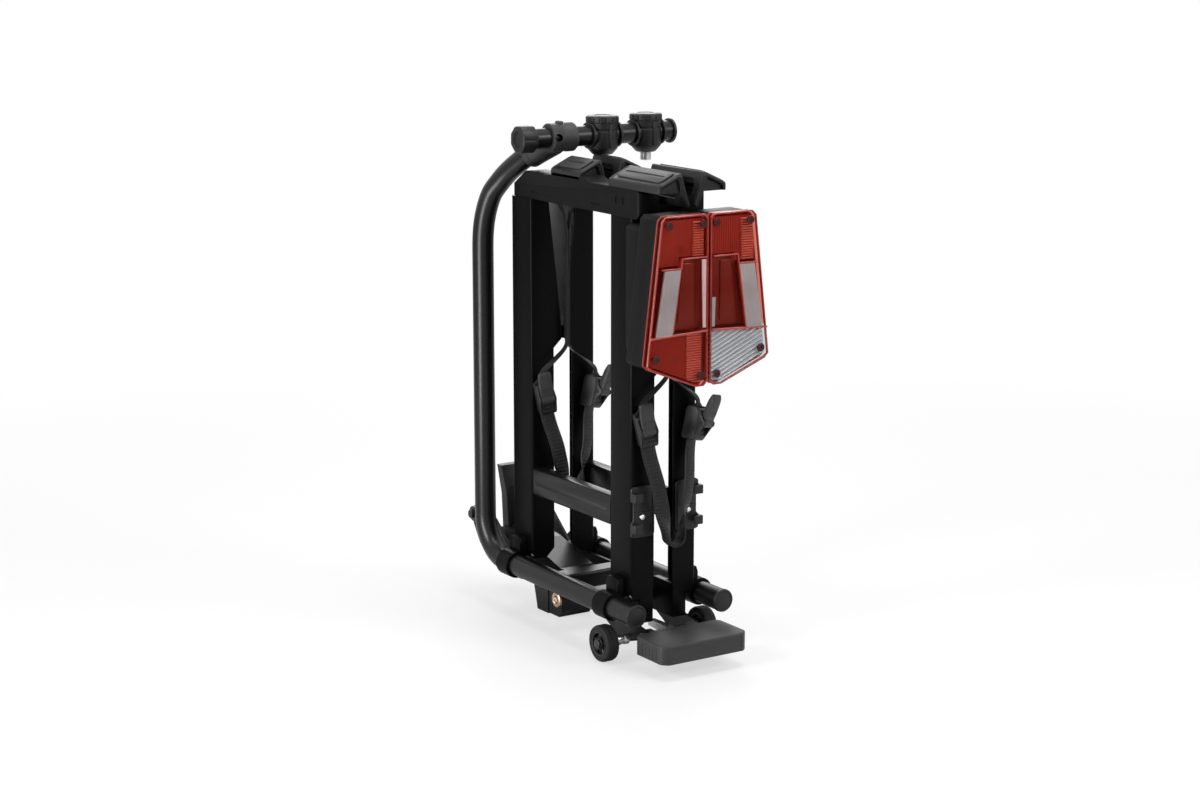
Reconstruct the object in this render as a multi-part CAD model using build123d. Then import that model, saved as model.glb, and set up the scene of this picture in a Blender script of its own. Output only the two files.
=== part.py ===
"""Folding two-bike tow-ball rack, folded up. Millimetres, +Z up, X across the car, +Y towards the car.

It is drawn about the plane between its two platforms and the front ends of its base tubes, and is saved about the
middle of its footprint on the floor.
"""
import os
from math import cos, hypot, radians, sin

from build123d import *

os.makedirs("parts", exist_ok=True)

# ---- fits ----
RUN = 0.05            # radial clearance of a running fit
WELD = 0.03           # gap left at a welded seat
SEAT = 0.2            # gap between bolted faces
CLEAR = 1.0           # air between pieces that pass each other

# ---- frame tubes ----
TUBE_R = 15.0
TUBE_WALL = 2.0
TUBE_X = 70.0         # half the spacing of the base tubes
TUBE_Z = 75.0
TUBE_Y0 = 2.0
RIGHT_TUBE_Y1 = 372.0
MAST_Y = 390.0
MAST_BEND_R = 58.0
CAP_T = 3.0

# ---- trays ----
TRAY_IN = 3.0         # gap between the tray's outer plate and the base tube
TRAY_X = TUBE_X - TUBE_R - TRAY_IN
TRAY_W = 52.0
TRAY_T = 2.5
TRAY_Z0 = 84.0
TRAY_Z1 = 595.0
NEAR_Y = 40.0
TRAY_PITCH = 250.0
FAR_Y = NEAR_Y + TRAY_PITCH
WALL_TOP_X = 24.0     # near wall's free edge at the top
WALL_DEEP_X = 3.0     # near wall's free edge where it is deepest
WALL_LOW_X = 16.0     # near wall's free edge in the wheel zone
DEEP_Z = 396.0
STEP_Z = 412.0
LIP = 8.0             # far wall's height in the wheel zone
CORNER = 12.0

# ---- end beam ----
BEAM_H = 39.0
BEAM_X0 = 18.0
BEAM_Y0 = 23.0
BEAM_Y1 = 334.0
BEAM_T = 3.0
BEAM_R = 12.0          # the beam's rounded front corners

# ---- sleeves ----
SLEEVE_R = TUBE_R + 3.5
SLEEVE_L = 30.0
LUG_Z0 = TUBE_Z + 4.0

SIDES = {"left": 1, "right": -1}


def box(x0, x1, y0, y1, z0, z1):
    return Pos((x0 + x1) / 2, (y0 + y1) / 2, (z0 + z1) / 2) * Box(abs(x1 - x0), abs(y1 - y0), abs(z1 - z0))


def rod(r, a, b):
    a, b = Vector(*a), Vector(*b)
    d = b - a
    return Plane(origin=(a + b) * 0.5, z_dir=d) * Cylinder(r, d.length)


def slab(plane, pts, depth):
    """A closed outline on a plane, raised by depth along the plane's normal."""
    with BuildSketch(plane) as s:
        with BuildLine():
            Polyline(*pts, close=True)
        make_face()
    return extrude(s.sketch, depth)


def xz(pts, y0, y1):
    """Outline of (x, z) points, from y0 to y1."""
    plane = Plane(origin=(0, y1, 0), x_dir=(1, 0, 0), z_dir=(0, -1, 0))
    return slab(plane, pts, y1 - y0)


def yz(pts, x0, x1):
    """Outline of (y, z) points, from x0 to x1."""
    plane = Plane(origin=(x0, 0, 0), x_dir=(0, 1, 0), z_dir=(1, 0, 0))
    return slab(plane, pts, x1 - x0)


def xy(pts, z0, z1):
    return slab(Plane(origin=(0, 0, z0), x_dir=(1, 0, 0), z_dir=(0, 0, 1)), pts, z1 - z0)


def soften(shape, edges, r):
    return fillet(edges, r) if edges else shape


def side(shape, s):
    """The left piece as drawn, or its mirror on the right."""
    return shape if s > 0 else mirror(shape, about=Plane.YZ)


def save(shape, node):
    home = Pos(-(BAR_X1 + BAR_CAP_T - LAMP_OUT_X) / 2, -(PLATE_Y1 + LAMP_Y0 - SCREW_PROUD) / 2, 0)
    parts = shape if isinstance(shape, (list, tuple)) else [shape]
    solids = [home * q for p in parts for q in p.solids()]
    for q in solids:
        assert q.is_valid, node
    out = solids[0] if len(solids) == 1 else Compound(children=solids)
    out.label = node
    export_step(out, "parts/" + node + ".step")


def hollow(path, r, wall):
    start = path @ 0
    plane = Plane(origin=start, z_dir=path % 0)
    ring = plane * (Circle(r) - Circle(r - wall))
    return sweep(ring, path=path)


# ---- mast and T-fitting ----
BAR_GAP = 46.0           # from the beams' top to the bar's middle
BAR_Y = 262.0
BAR_Z = TRAY_Z1 + BEAM_H + BAR_GAP
MAST_TOP_Z = BAR_Z - 172.0
MAST_PTS = [(-TUBE_X, MAST_Y, MAST_TOP_Z), (-TUBE_X + 7, MAST_Y - 8, BAR_Z - 94), (-TUBE_X + 16, MAST_Y - 23, BAR_Z - 68),
            (-TUBE_X + 28, BAR_Y + 73, BAR_Z - 39), (-TUBE_X + 38, BAR_Y + 41, BAR_Z - 19), (-TUBE_X + 44, BAR_Y + 19, BAR_Z - 9)]
MAST_END = (0.22, -0.86, 0.42)
BAR_R = 14.0
BAR_X0 = -66.0
BAR_X1 = 158.0
BAR_CAP_T = 3.0
TEE_X = -22.0
TEE_R = BAR_R + 5.5
TEE_L = 40.0
TEE_SOCKET_R = TUBE_R + 4.5


def frame_tubes():
    with BuildLine() as low:
        FilletPolyline((-TUBE_X, TUBE_Y0, TUBE_Z), (-TUBE_X, MAST_Y, TUBE_Z), (-TUBE_X, MAST_Y, MAST_TOP_Z),
                       radius=MAST_BEND_R)
    with BuildLine() as high:
        Spline(*MAST_PTS, tangents=[(0, 0, 1), MAST_END])
    left = hollow(low.wires()[0], TUBE_R, TUBE_WALL) + hollow(high.wires()[0], TUBE_R, TUBE_WALL)
    with BuildLine() as straight:
        Line((TUBE_X, TUBE_Y0, TUBE_Z), (TUBE_X, RIGHT_TUBE_Y1, TUBE_Z))
    right = hollow(straight.wires()[0], TUBE_R, TUBE_WALL)
    save(left, "left_frame_tube")
    save(right, "right_frame_tube")

    plug_r = TUBE_R - TUBE_WALL - RUN
    plug_l = 14.0
    caps = []
    for x, y, d in ((-TUBE_X, TUBE_Y0, -1), (TUBE_X, TUBE_Y0, -1), (TUBE_X, RIGHT_TUBE_Y1, 1)):
        flange = rod(TUBE_R + 0.5, (x, y, TUBE_Z), (x, y + d * CAP_T, TUBE_Z))
        caps.append(flange + rod(plug_r, (x, y - d * plug_l, TUBE_Z), (x, y + d * 0.5, TUBE_Z)))
    caps.append(rod(BAR_R + 3, (BAR_X1 - 2, BAR_Y, BAR_Z), (BAR_X1 + BAR_CAP_T, BAR_Y, BAR_Z))
                + rod(BAR_R - 2 - RUN, (BAR_X1 - 16, BAR_Y, BAR_Z), (BAR_X1, BAR_Y, BAR_Z)))
    save(caps, "tube_end_caps")


# ---- cross members ----
FRONT_Y0, FRONT_Y1 = 104.0, 134.0
MID_Y0, MID_Y1 = 196.0, 226.0
CROSS_Z0, CROSS_Z1 = 58.0, 82.0
CROSS_WALL = 2.5
CROSS_X = TUBE_X - 6.0
PLATE_T = 4.0
PLATE_X1 = TUBE_X - SLEEVE_R - CLEAR
PLATE_X0 = PLATE_X1 - PLATE_T
PLATE_Y1 = 458.0       # the side plates' ends at the car side
TILT_Y, TILT_Z, TILT_R = 246.0, 64.0, 6.0
WHEEL_Y, WHEEL_Z, WHEEL_R, WHEEL_W = 62.0, 25.0, 25.0, 19.0
WHEEL_X0 = 70.5
AXLE_R = 4.0
PEDAL_X = 68.0
PEDAL_Y0, PEDAL_Y1 = -62.0, 8.0
PEDAL_Z0, PEDAL_Z1 = 23.0, 48.0
PEDAL_PIN_Y, PEDAL_PIN_Z, PEDAL_PIN_R = 24.0, 38.0, 4.0
PEDAL_ARM_X0, PEDAL_ARM_X1 = 30.0, 38.0
BRACKET_X0, BRACKET_X1 = PEDAL_ARM_X1 + 1.0, PEDAL_ARM_X1 + 5.0


def cross_members():
    tubes = rod(TUBE_R + WELD, (-TUBE_X, 0, TUBE_Z), (-TUBE_X, 320, TUBE_Z)) \
        + rod(TUBE_R + WELD, (TUBE_X, 0, TUBE_Z), (TUBE_X, 320, TUBE_Z))
    for name, y0, y1 in (("front_cross_member", FRONT_Y0, FRONT_Y1), ("middle_cross_member", MID_Y0, MID_Y1)):
        bar = box(-CROSS_X, CROSS_X, y0, y1, CROSS_Z0, CROSS_Z1)
        bar = soften(bar, bar.edges().filter_by(Axis.X), 4.0)
        bar -= box(-CROSS_X - 1, CROSS_X + 1, y0 + CROSS_WALL, y1 - CROSS_WALL,
                   CROSS_Z0 + CROSS_WALL, CROSS_Z1 - CROSS_WALL)
        save(bar - tubes, name)

    brackets = []
    for s in (1, -1):
        arm = yz([(PEDAL_PIN_Y - 8, PEDAL_PIN_Z - 8), (PEDAL_PIN_Y + 8, PEDAL_PIN_Z - 8),
                  (WHEEL_Y + 12, WHEEL_Z - 8), (FRONT_Y0 + 20, CROSS_Z0 - 14), (FRONT_Y0 + 20, CROSS_Z0 - WELD),
                  (FRONT_Y0, CROSS_Z0 - WELD), (PEDAL_PIN_Y + 20, CROSS_Z0 - 8), (PEDAL_PIN_Y - 8, PEDAL_PIN_Z + 8)],
                 BRACKET_X0, BRACKET_X1)
        arm -= rod(PEDAL_PIN_R + RUN, (BRACKET_X0 - 1, PEDAL_PIN_Y, PEDAL_PIN_Z),
                   (BRACKET_X1 + 1, PEDAL_PIN_Y, PEDAL_PIN_Z))
        arm -= rod(AXLE_R + RUN, (BRACKET_X0 - 1, WHEEL_Y, WHEEL_Z), (BRACKET_X1 + 1, WHEEL_Y, WHEEL_Z))
        brackets.append(side(arm, -s))
    save(brackets, "wheel_and_pedal_brackets")

    ax = WHEEL_X0 + WHEEL_W
    axle = rod(AXLE_R, (-ax - 3.5, WHEEL_Y, WHEEL_Z), (ax + 3.5, WHEEL_Y, WHEEL_Z))
    for s in (1, -1):
        axle += rod(AXLE_R + 2.5, (s * (ax + 1.0), WHEEL_Y, WHEEL_Z), (s * (ax + 3.5), WHEEL_Y, WHEEL_Z))
        axle += rod(AXLE_R + 3, (s * (BRACKET_X1 + SEAT), WHEEL_Y, WHEEL_Z), (s * (WHEEL_X0 - 0.6), WHEEL_Y, WHEEL_Z))
    save(axle, "wheel_axle")


def coupling_plates():
    top = LUG_Z0 - CLEAR
    pts = [(MID_Y0, CROSS_Z1 + WELD), (MID_Y1 + WELD, CROSS_Z1 + WELD), (MID_Y1 + WELD, CROSS_Z0 - 8), (300.0, 50.0),
           (326.0, 46.0), (392.0, 50.0), (440.0, 74.0), (PLATE_Y1, 100.0), (PLATE_Y1, 126.0), (430.0, 136.0), (396.0, 118.0),
           (FAR_Y + TRAY_W + 4, top), (MID_Y0, top)]
    pts = [(MID_Y0 - 4, CROSS_Z0 - 6)] + pts[3:-1] + [(MID_Y0 - 4, top)]
    window = box(PLATE_X0 - 1, PLATE_X1 + 1, MID_Y0 - WELD, MID_Y1 + WELD, CROSS_Z0 - WELD, TRAY_Z0)
    hole = rod(TILT_R + RUN, (PLATE_X0 - 1, TILT_Y, TILT_Z), (PLATE_X1 + 1, TILT_Y, TILT_Z))
    stop = rod(STOP_R + RUN, (PLATE_X0 - 1, STOP_Y, STOP_Z), (PLATE_X1 + 1, STOP_Y, STOP_Z))
    plate = yz(pts, PLATE_X0, PLATE_X1) - window - hole - stop
    save([plate, mirror(plate, about=Plane.YZ)], "coupling_side_plates")
    grip = 2.0
    pin = rod(TILT_R, (-PLATE_X1 + 0.1, TILT_Y, TILT_Z), (PLATE_X1 - 0.1, TILT_Y, TILT_Z))
    save(pin, "tilt_pin")
    studs = []
    for s in (1, -1):
        stud = rod(STOP_R, (s * (PLATE_X0 - grip), STOP_Y, STOP_Z), (s * (PLATE_X1 + 14), STOP_Y, STOP_Z))
        stud += rod(STOP_R + 5, (s * (PLATE_X1 + SEAT), STOP_Y, STOP_Z), (s * (PLATE_X1 + 9), STOP_Y, STOP_Z))
        studs.append(stud)
    save(studs, "plate_studs")


# ---- wheels ----
def wheels():
    for name, s in (("left", -1), ("right", 1)):
        a, b = s * WHEEL_X0, s * (WHEEL_X0 + WHEEL_W)
        p, q = (a, WHEEL_Y, WHEEL_Z), (b, WHEEL_Y, WHEEL_Z)
        hub_r = WHEEL_R - 8.0
        hub = rod(hub_r, p, q) - rod(AXLE_R + RUN, (a - s, WHEEL_Y, WHEEL_Z), (b + s, WHEEL_Y, WHEEL_Z))
        for c, d in ((a, a + s * 4.0), (b, b - s * 4.0)):
            dish = rod(hub_r - 2.5, (c - s * 0 if c == a else c, WHEEL_Y, WHEEL_Z), (d, WHEEL_Y, WHEEL_Z)) \
                - rod(AXLE_R + 4.0, (a, WHEEL_Y, WHEEL_Z), (b, WHEEL_Y, WHEEL_Z))
            hub -= dish
        tyre = rod(WHEEL_R, p, q)
        tyre = soften(tyre, tyre.edges().filter_by(GeomType.CIRCLE), 3.0)
        tyre -= rod(hub_r + 0.02, (a - s, WHEEL_Y, WHEEL_Z), (b + s, WHEEL_Y, WHEEL_Z))
        save(hub, name + "_wheel_hub")
        save(tyre, name + "_wheel_tyre")


# ---- foot pedal ----
def pedal():
    w = PEDAL_X
    pad = xy([(-w, PEDAL_Y0 + 8), (-w + 8, PEDAL_Y0), (w - 8, PEDAL_Y0), (w, PEDAL_Y0 + 8), (w, PEDAL_Y1), (-w, PEDAL_Y1)],
             PEDAL_Z0, PEDAL_Z1)
    pad = soften(pad, pad.edges().filter_by(Axis.Z), 3.0)
    pad -= box(-w + 3, w - 3, PEDAL_Y0 + 3.5, PEDAL_Y1 - 3, PEDAL_Z0 - 1, PEDAL_Z1 - 4)
    for i in range(4):
        x = -w + 24 + i * (2 * w - 48) / 3
        pad += box(x - 1, x + 1, PEDAL_Y0 + 3, PEDAL_Y1 - 2, PEDAL_Z0 + 4, PEDAL_Z1 - 3)
    for s in (1, -1):
        arm = yz([(PEDAL_Y1 - 4, PEDAL_PIN_Z - 8), (PEDAL_PIN_Y, PEDAL_PIN_Z - 8), (PEDAL_PIN_Y + 8, PEDAL_PIN_Z),
                  (PEDAL_PIN_Y, PEDAL_PIN_Z + 8), (PEDAL_Y1 - 4, PEDAL_PIN_Z + 8)], PEDAL_ARM_X0, PEDAL_ARM_X1)
        pad += side(arm, s)
    pad -= rod(PEDAL_PIN_R + 0.02, (-w - 1, PEDAL_PIN_Y, PEDAL_PIN_Z), (w + 1, PEDAL_PIN_Y, PEDAL_PIN_Z))
    save(pad, "foot_pedal")
    shaft = rod(PEDAL_PIN_R, (-BRACKET_X1 - 3, PEDAL_PIN_Y, PEDAL_PIN_Z), (BRACKET_X1 + 3, PEDAL_PIN_Y, PEDAL_PIN_Z))
    cam = yz([(PEDAL_PIN_Y - 6, PEDAL_PIN_Z - 5), (PEDAL_PIN_Y + 6, PEDAL_PIN_Z - 5), (PEDAL_PIN_Y + 44, PEDAL_PIN_Z - 2),
              (PEDAL_PIN_Y + 44, PEDAL_PIN_Z + 6), (PEDAL_PIN_Y + 6, PEDAL_PIN_Z + 7), (PEDAL_PIN_Y - 6, PEDAL_PIN_Z + 5)],
             -5.0, 5.0)
    save(shaft + cam, "pedal_shaft")


# ---- coupling ----
BALL_R = 25.0
BALL_Y, BALL_Z = 290.0, 27.0
BODY_X = 26.5
BODY_Y1 = 436.0
LEVER_Y, LEVER_Z, LEVER_R = 418.0, 84.0, 5.0
JAW_Y, JAW_Z, JAW_R = 268.0, 58.0, 4.0
STOP_Y, STOP_Z, STOP_R = 444.0, 118.0, 6.0
LEVER_TOP = 187.0


def coupling():
    x1 = BODY_X
    body = yz([(BALL_Y, 0.0), (BALL_Y + BALL_R + 4, 0.0), (BALL_Y + BALL_R + 14, 38.0), (BODY_Y1 - 30, 50.0),
               (BODY_Y1 - 8, 66.0), (BODY_Y1 - 8, 98.0), (BODY_Y1 - 40, 102.0), (340.0, 96.0), (TILT_Y + 10, TILT_Z + 10),
               (TILT_Y - 6, TILT_Z + 11), (TILT_Y - 12, TILT_Z + 4), (TILT_Y - 12, TILT_Z - 6), (TILT_Y - 6, TILT_Z - 12),
               (JAW_Y - 12, JAW_Z - 10), (BALL_Y, JAW_Z - 10)], -x1, x1)
    body = soften(body, body.edges().filter_by(Axis.X).sort_by(Axis.Z)[-3:], 6.0)
    body -= Pos(0, BALL_Y, BALL_Z) * Sphere(BALL_R + 0.3)
    body -= rod(BALL_R * 0.82, (0, BALL_Y, -5), (0, BALL_Y, BALL_Z))
    body -= rod(TILT_R + RUN, (-x1 - 1, TILT_Y, TILT_Z), (x1 + 1, TILT_Y, TILT_Z))
    body -= box(-x1 + 7.5, x1 - 7.5, LEVER_Y - 26, BODY_Y1, 62.0, 110.0)
    body -= box(-x1 + 7.5, x1 - 7.5, LEVER_Y - 68, LEVER_Y - 25, 80.0, 110.0)
    body -= rod(LEVER_R + RUN, (-x1 - 1, LEVER_Y, LEVER_Z), (x1 + 1, LEVER_Y, LEVER_Z))
    body -= rod(JAW_R + RUN, (-x1 - 1, JAW_Y, JAW_Z), (x1 + 1, JAW_Y, JAW_Z))
    body -= box(-x1 + 8, x1 - 8, JAW_Y - 11, JAW_Y + 11, JAW_Z - 11, JAW_Z + 9)
    for s in (1, -1):
        boss = rod(TILT_R + 2.5, (s * (x1 - 1), TILT_Y, TILT_Z), (s * (PLATE_X0 - SEAT), TILT_Y, TILT_Z))
        body += boss - rod(TILT_R + RUN, (s * (x1 - 2), TILT_Y, TILT_Z), (s * PLATE_X0, TILT_Y, TILT_Z))
    save(body, "coupling_body")

    jaw = yz([(BALL_Y - 0.8, 1.0), (BALL_Y - 0.8, JAW_Z - 11), (JAW_Y + 3, JAW_Z - 11), (JAW_Y - 4, JAW_Z - 14),
              (BALL_Y - 34, 30.0), (BALL_Y - 34, 10.0), (BALL_Y - 28, 1.0)], -x1 + 1, x1 - 1)
    jaw -= Pos(0, BALL_Y, BALL_Z) * Sphere(BALL_R + 0.3)
    jaw -= rod(BALL_R * 0.82, (0, BALL_Y, -5), (0, BALL_Y, BALL_Z))
    jaw += yz([(JAW_Y - 6, JAW_Z - 15), (JAW_Y + 6, JAW_Z - 15), (JAW_Y + 6, JAW_Z + 5), (JAW_Y - 6, JAW_Z + 5)],
              -x1 + 9, x1 - 9)
    jaw -= rod(JAW_R + RUN, (-x1, JAW_Y, JAW_Z), (x1, JAW_Y, JAW_Z))
    save(jaw, "coupling_jaw")

    nut_t = 5.0
    pins = []
    for y, z, r in ((LEVER_Y, LEVER_Z, LEVER_R), (JAW_Y, JAW_Z, JAW_R)):
        pins.append(rod(r, (-x1 - nut_t - 1, y, z), (x1 + nut_t + 1, y, z)))
    save(pins, "coupling_pins")
    nuts = []
    for y, z, r in ((LEVER_Y, LEVER_Z, LEVER_R), (JAW_Y, JAW_Z, JAW_R)):
        for s in (1, -1):
            hexa = Plane(origin=(s * (x1 + SEAT), y, z), z_dir=(s, 0, 0)) * extrude(RegularPolygon(r * 1.8, 6), nut_t)
            nuts.append(hexa - rod(r + 0.02, (s * x1, y, z), (s * (x1 + nut_t + 2), y, z)))
    save(nuts, "coupling_nuts")
    w = x1 - 8.5
    arm = yz([(LEVER_Y - 9, LEVER_Z - 9), (LEVER_Y + 9, LEVER_Z - 9), (LEVER_Y + 14, LEVER_TOP - 40),
              (LEVER_Y + 26, LEVER_TOP), (LEVER_Y + 14, LEVER_TOP), (LEVER_Y, LEVER_TOP - 38)], -w, w)
    arm = soften(arm, arm.edges().filter_by(Axis.X).sort_by(Axis.Z)[:2], 6.0)
    arm -= rod(LEVER_R + RUN, (-w - 1, LEVER_Y, LEVER_Z), (w + 1, LEVER_Y, LEVER_Z))
    arm -= box(-w + 5, w - 5, LEVER_Y - 12, LEVER_Y + 6, LEVER_Z + 14, LEVER_TOP - 30)
    save(arm, "coupling_lever")


# ---- top bar ----
KNOB_R = 19.0
KNOB_T = 24.0


def top_bar():
    a = Vector(*MAST_PTS[-1])
    d = Vector(*MAST_END).normalized()
    tee = rod(TEE_R, (TEE_X - TEE_L / 2, BAR_Y, BAR_Z), (TEE_X + TEE_L / 2, BAR_Y, BAR_Z))
    back = a - d * 22
    tee += rod(TEE_SOCKET_R, back, (a + d * 14))
    wing = xz([(TEE_X - TEE_L / 2 - 0.0, BAR_Z - 12), (TEE_X - TEE_L / 2 + 8, BAR_Z - 12), (TEE_X + 4, BAR_Z + TEE_R + 4),
               (TEE_X - 4, BAR_Z + TEE_R + 4)], BAR_Y - 5, BAR_Y + 5)
    tee += wing
    tee -= rod(BAR_R + RUN, (TEE_X - TEE_L, BAR_Y, BAR_Z), (TEE_X + TEE_L, BAR_Y, BAR_Z))
    with BuildLine() as high:
        Spline(*MAST_PTS, tangents=[(0, 0, 1), MAST_END])
    core = Plane(origin=high.wires()[0] @ 0, z_dir=(0, 0, 1)) * Circle(TUBE_R + WELD)
    tee -= sweep(core, path=high.wires()[0])
    tee -= Plane(origin=(a - d * 11), z_dir=Vector(-1, 0, 0)) * Cylinder(3.5, 60)
    big = max(tee.solids(), key=lambda q: q.volume)
    save(big, "tee_fitting")
    bar = rod(BAR_R, (BAR_X0 + 2, BAR_Y, BAR_Z), (BAR_X1 - 2, BAR_Y, BAR_Z))
    bar -= rod(BAR_R - 2, (BAR_X0 + 2, BAR_Y, BAR_Z), (BAR_X1 - 2, BAR_Y, BAR_Z))
    save(bar, "top_bar")
    knob = Plane(origin=(BAR_X0, BAR_Y, BAR_Z), z_dir=(-1, 0, 0)) * extrude(RegularPolygon(KNOB_R, 8), KNOB_T)
    knob = soften(knob, knob.edges().group_by(Axis.X)[0], 4.0)
    knob += rod(BAR_R - 2 - RUN, (BAR_X0 + 1, BAR_Y, BAR_Z), (BAR_X0 + 18, BAR_Y, BAR_Z))
    knob += rod(BAR_R + 1, (BAR_X0 - 1, BAR_Y, BAR_Z), (BAR_X0 + 1.9, BAR_Y, BAR_Z))
    save(knob, "bar_knob")


# ---- arm clamps ----
CLAMPS = {"inner": 47.0, "outer": 119.0}
CLAMP_R = 21.5
CLAMP_Z0, CLAMP_Z1 = BAR_Z - 27.0, BAR_Z + 17.0
ARM_R = 8.0
SHANK_R = ARM_R - 1.0    # the arm inside its clamp
ARM_END_Z = TRAY_Z1 + BEAM_H + 7.0


def arm_clamps():
    for name, x in CLAMPS.items():
        body = rod(CLAMP_R, (x, BAR_Y, CLAMP_Z0 + 8), (x, BAR_Y, CLAMP_Z1))
        body += Pos(x, BAR_Y, CLAMP_Z0 + 4) * Cone(ARM_R + 6, CLAMP_R, 8)
        body -= rod(BAR_R + RUN, (x - 40, BAR_Y, BAR_Z), (x + 40, BAR_Y, BAR_Z))
        body -= rod(SHANK_R + 0.04, (x, BAR_Y, CLAMP_Z0 - 1), (x, BAR_Y, BAR_Z))
        body -= rod(5.0 + RUN, (x, BAR_Y, BAR_Z), (x, BAR_Y, CLAMP_Z1 + 1))
        save(body, name + "_clamp_body")
        cap = rod(CLAMP_R + 1.5, (x, BAR_Y, CLAMP_Z1 + SEAT), (x, BAR_Y, CLAMP_Z1 + 10))
        cap = soften(cap, cap.edges().group_by(Axis.Z)[-1], 2.5)
        cap += rod(5.0, (x, BAR_Y, BAR_Z + BAR_R + 0.8), (x, BAR_Y, CLAMP_Z1 + 1))
        save(cap, name + "_clamp_knob")
        arm = rod(ARM_R, (x, BAR_Y, ARM_END_Z), (x, BAR_Y, CLAMP_Z0 - SEAT))
        arm += rod(SHANK_R, (x, BAR_Y, CLAMP_Z0 - SEAT), (x, BAR_Y, BAR_Z - BAR_R - 0.6))
        save(arm, name + "_arm_rod")


# ---- platform pieces, drawn for the left ----
def tray(y0):
    x0 = -TRAY_X
    t = TRAY_T
    y1 = y0 + TRAY_W
    plate = xz([(x0, TRAY_Z0 + CORNER), (x0 + CORNER * 0.4, TRAY_Z0), (x0 + t + 4, TRAY_Z0), (x0 + t, TRAY_Z0 + CORNER),
                (x0 + t, TRAY_Z1), (x0, TRAY_Z1)], y0, y1)
    near = xz([(x0, TRAY_Z0 + CORNER), (x0 + CORNER * 0.4, TRAY_Z0), (-WALL_LOW_X - CORNER, TRAY_Z0),
               (-WALL_LOW_X, TRAY_Z0 + CORNER), (-WALL_LOW_X, DEEP_Z - 12), (-WALL_DEEP_X, DEEP_Z),
               (-WALL_DEEP_X, STEP_Z), (-WALL_TOP_X, TRAY_Z1), (x0, TRAY_Z1)], y0, y0 + t)
    far = xz([(x0, TRAY_Z0 + CORNER), (x0 + CORNER * 0.4, TRAY_Z0), (x0 + LIP, TRAY_Z0), (x0 + LIP, DEEP_Z - 12),
              (-WALL_DEEP_X - 4, DEEP_Z - 4), (-WALL_DEEP_X, DEEP_Z), (-WALL_DEEP_X, TRAY_Z1), (x0, TRAY_Z1)],
             y1 - t, y1)
    foot = box(x0 + CORNER * 0.4, -WALL_LOW_X - CORNER, y0, y1, TRAY_Z0, TRAY_Z0 + t)
    body = plate + near + far + foot
    ys = y0 + (TRAY_W - SLEEVE_L) / 2
    axis = ((-TUBE_X, ys, TUBE_Z), (-TUBE_X, ys + SLEEVE_L, TUBE_Z))
    lug = box(-TUBE_X, x0 + 6, ys, ys + SLEEVE_L, LUG_Z0, TRAY_Z0 + CORNER + 16)
    lug = lug - box(-TUBE_X - 1, -TUBE_X + 6, ys - 1, ys + SLEEVE_L + 1, TUBE_Z + 22, TRAY_Z0 + 60)
    body += rod(SLEEVE_R, *axis) + lug
    body -= rod(TUBE_R + RUN, (-TUBE_X, ys - 5, TUBE_Z), (-TUBE_X, ys + SLEEVE_L + 5, TUBE_Z))
    return body


def end_beam():
    pts = [(BEAM_Y0 + 6, TRAY_Z1 + SEAT), (BEAM_Y1, TRAY_Z1 + SEAT), (BEAM_Y1, TRAY_Z1 + 18), (BEAM_Y1 - 30, TRAY_Z1 + BEAM_H),
           (BEAM_Y0 + 6, TRAY_Z1 + BEAM_H), (BEAM_Y0, TRAY_Z1 + BEAM_H - 6), (BEAM_Y0, TRAY_Z1 + 8)]
    beam = yz(pts, -TRAY_X, -BEAM_X0)
    long = [e for e in beam.edges().filter_by(Axis.Z) if e.center().Y < BEAM_Y0 + 1]
    beam = soften(beam, long, BEAM_R)
    inner = box(-TRAY_X + BEAM_T, -BEAM_X0 - BEAM_T, BEAM_Y0 + 12, BEAM_Y1 - 34, TRAY_Z1 + BEAM_T, TRAY_Z1 + BEAM_H - BEAM_T)
    return beam - inner


WING_Z0 = TRAY_Z1 + BEAM_H + SEAT
WING_T = 4.0
WING_SKIRT = 7.0
WING_TIP_X, WING_TIP_Z = 18.0, WING_Z0 + 23.8
WING_V_X, WING_V_Z = 5.5, WING_Z0 - 21.2
WINGS = {"near": (-22.0, 96.0), "far": (166.0, 238.0)}


def scoop(which):
    """Cup at the platform's end: a top plate that rises to the middle, a wall down to the V, a web and a post."""
    y0, y1 = WINGS[which]
    t, tip_x, tip_z = WING_T, -WING_TIP_X, WING_TIP_Z
    top = xz([(-TRAY_X, WING_Z0), (-TRAY_X, WING_Z0 + WING_SKIRT), (-TRAY_X + 3, WING_Z0 + WING_SKIRT + 2),
              (tip_x - 3, tip_z - 1.5), (tip_x, tip_z), (tip_x + t / 2, tip_z - 1.5), (-WING_V_X, WING_V_Z + 5),
              (-WING_V_X, WING_V_Z), (-WING_V_X - t, WING_V_Z + 2), (tip_x - t * 0.6, tip_z - t * 2),
              (-TRAY_X + t, WING_Z0 + WING_SKIRT - 1), (-TRAY_X + t, WING_Z0)], y0, y1)
    ya, yb = (y0 + 3, y0 + 6) if which == "near" else (y1 - 6, y1 - 3)
    web = xz([(-TRAY_X + t / 2, WING_Z0 + 0.5), (-BEAM_X0 + SEAT, WING_Z0 + 0.5), (-BEAM_X0 + SEAT, WING_V_Z + 12),
              (-WING_V_X - t / 2, WING_V_Z + 5), (tip_x - 1, tip_z - 4), (-TRAY_X + t / 2, WING_Z0 + WING_SKIRT)], ya, yb)
    post_y = y0 + 50 if which == "near" else y0 + 20
    post = xz([(-BEAM_X0 - 14, WING_Z0), (-BEAM_X0 - 1, WING_Z0), (tip_x - 1, tip_z - 6), (tip_x - 14, tip_z - 10)],
              post_y, post_y + 30)
    return top + web + post


RAIL_Z0, RAIL_Z1 = 176.0, 216.0


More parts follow.
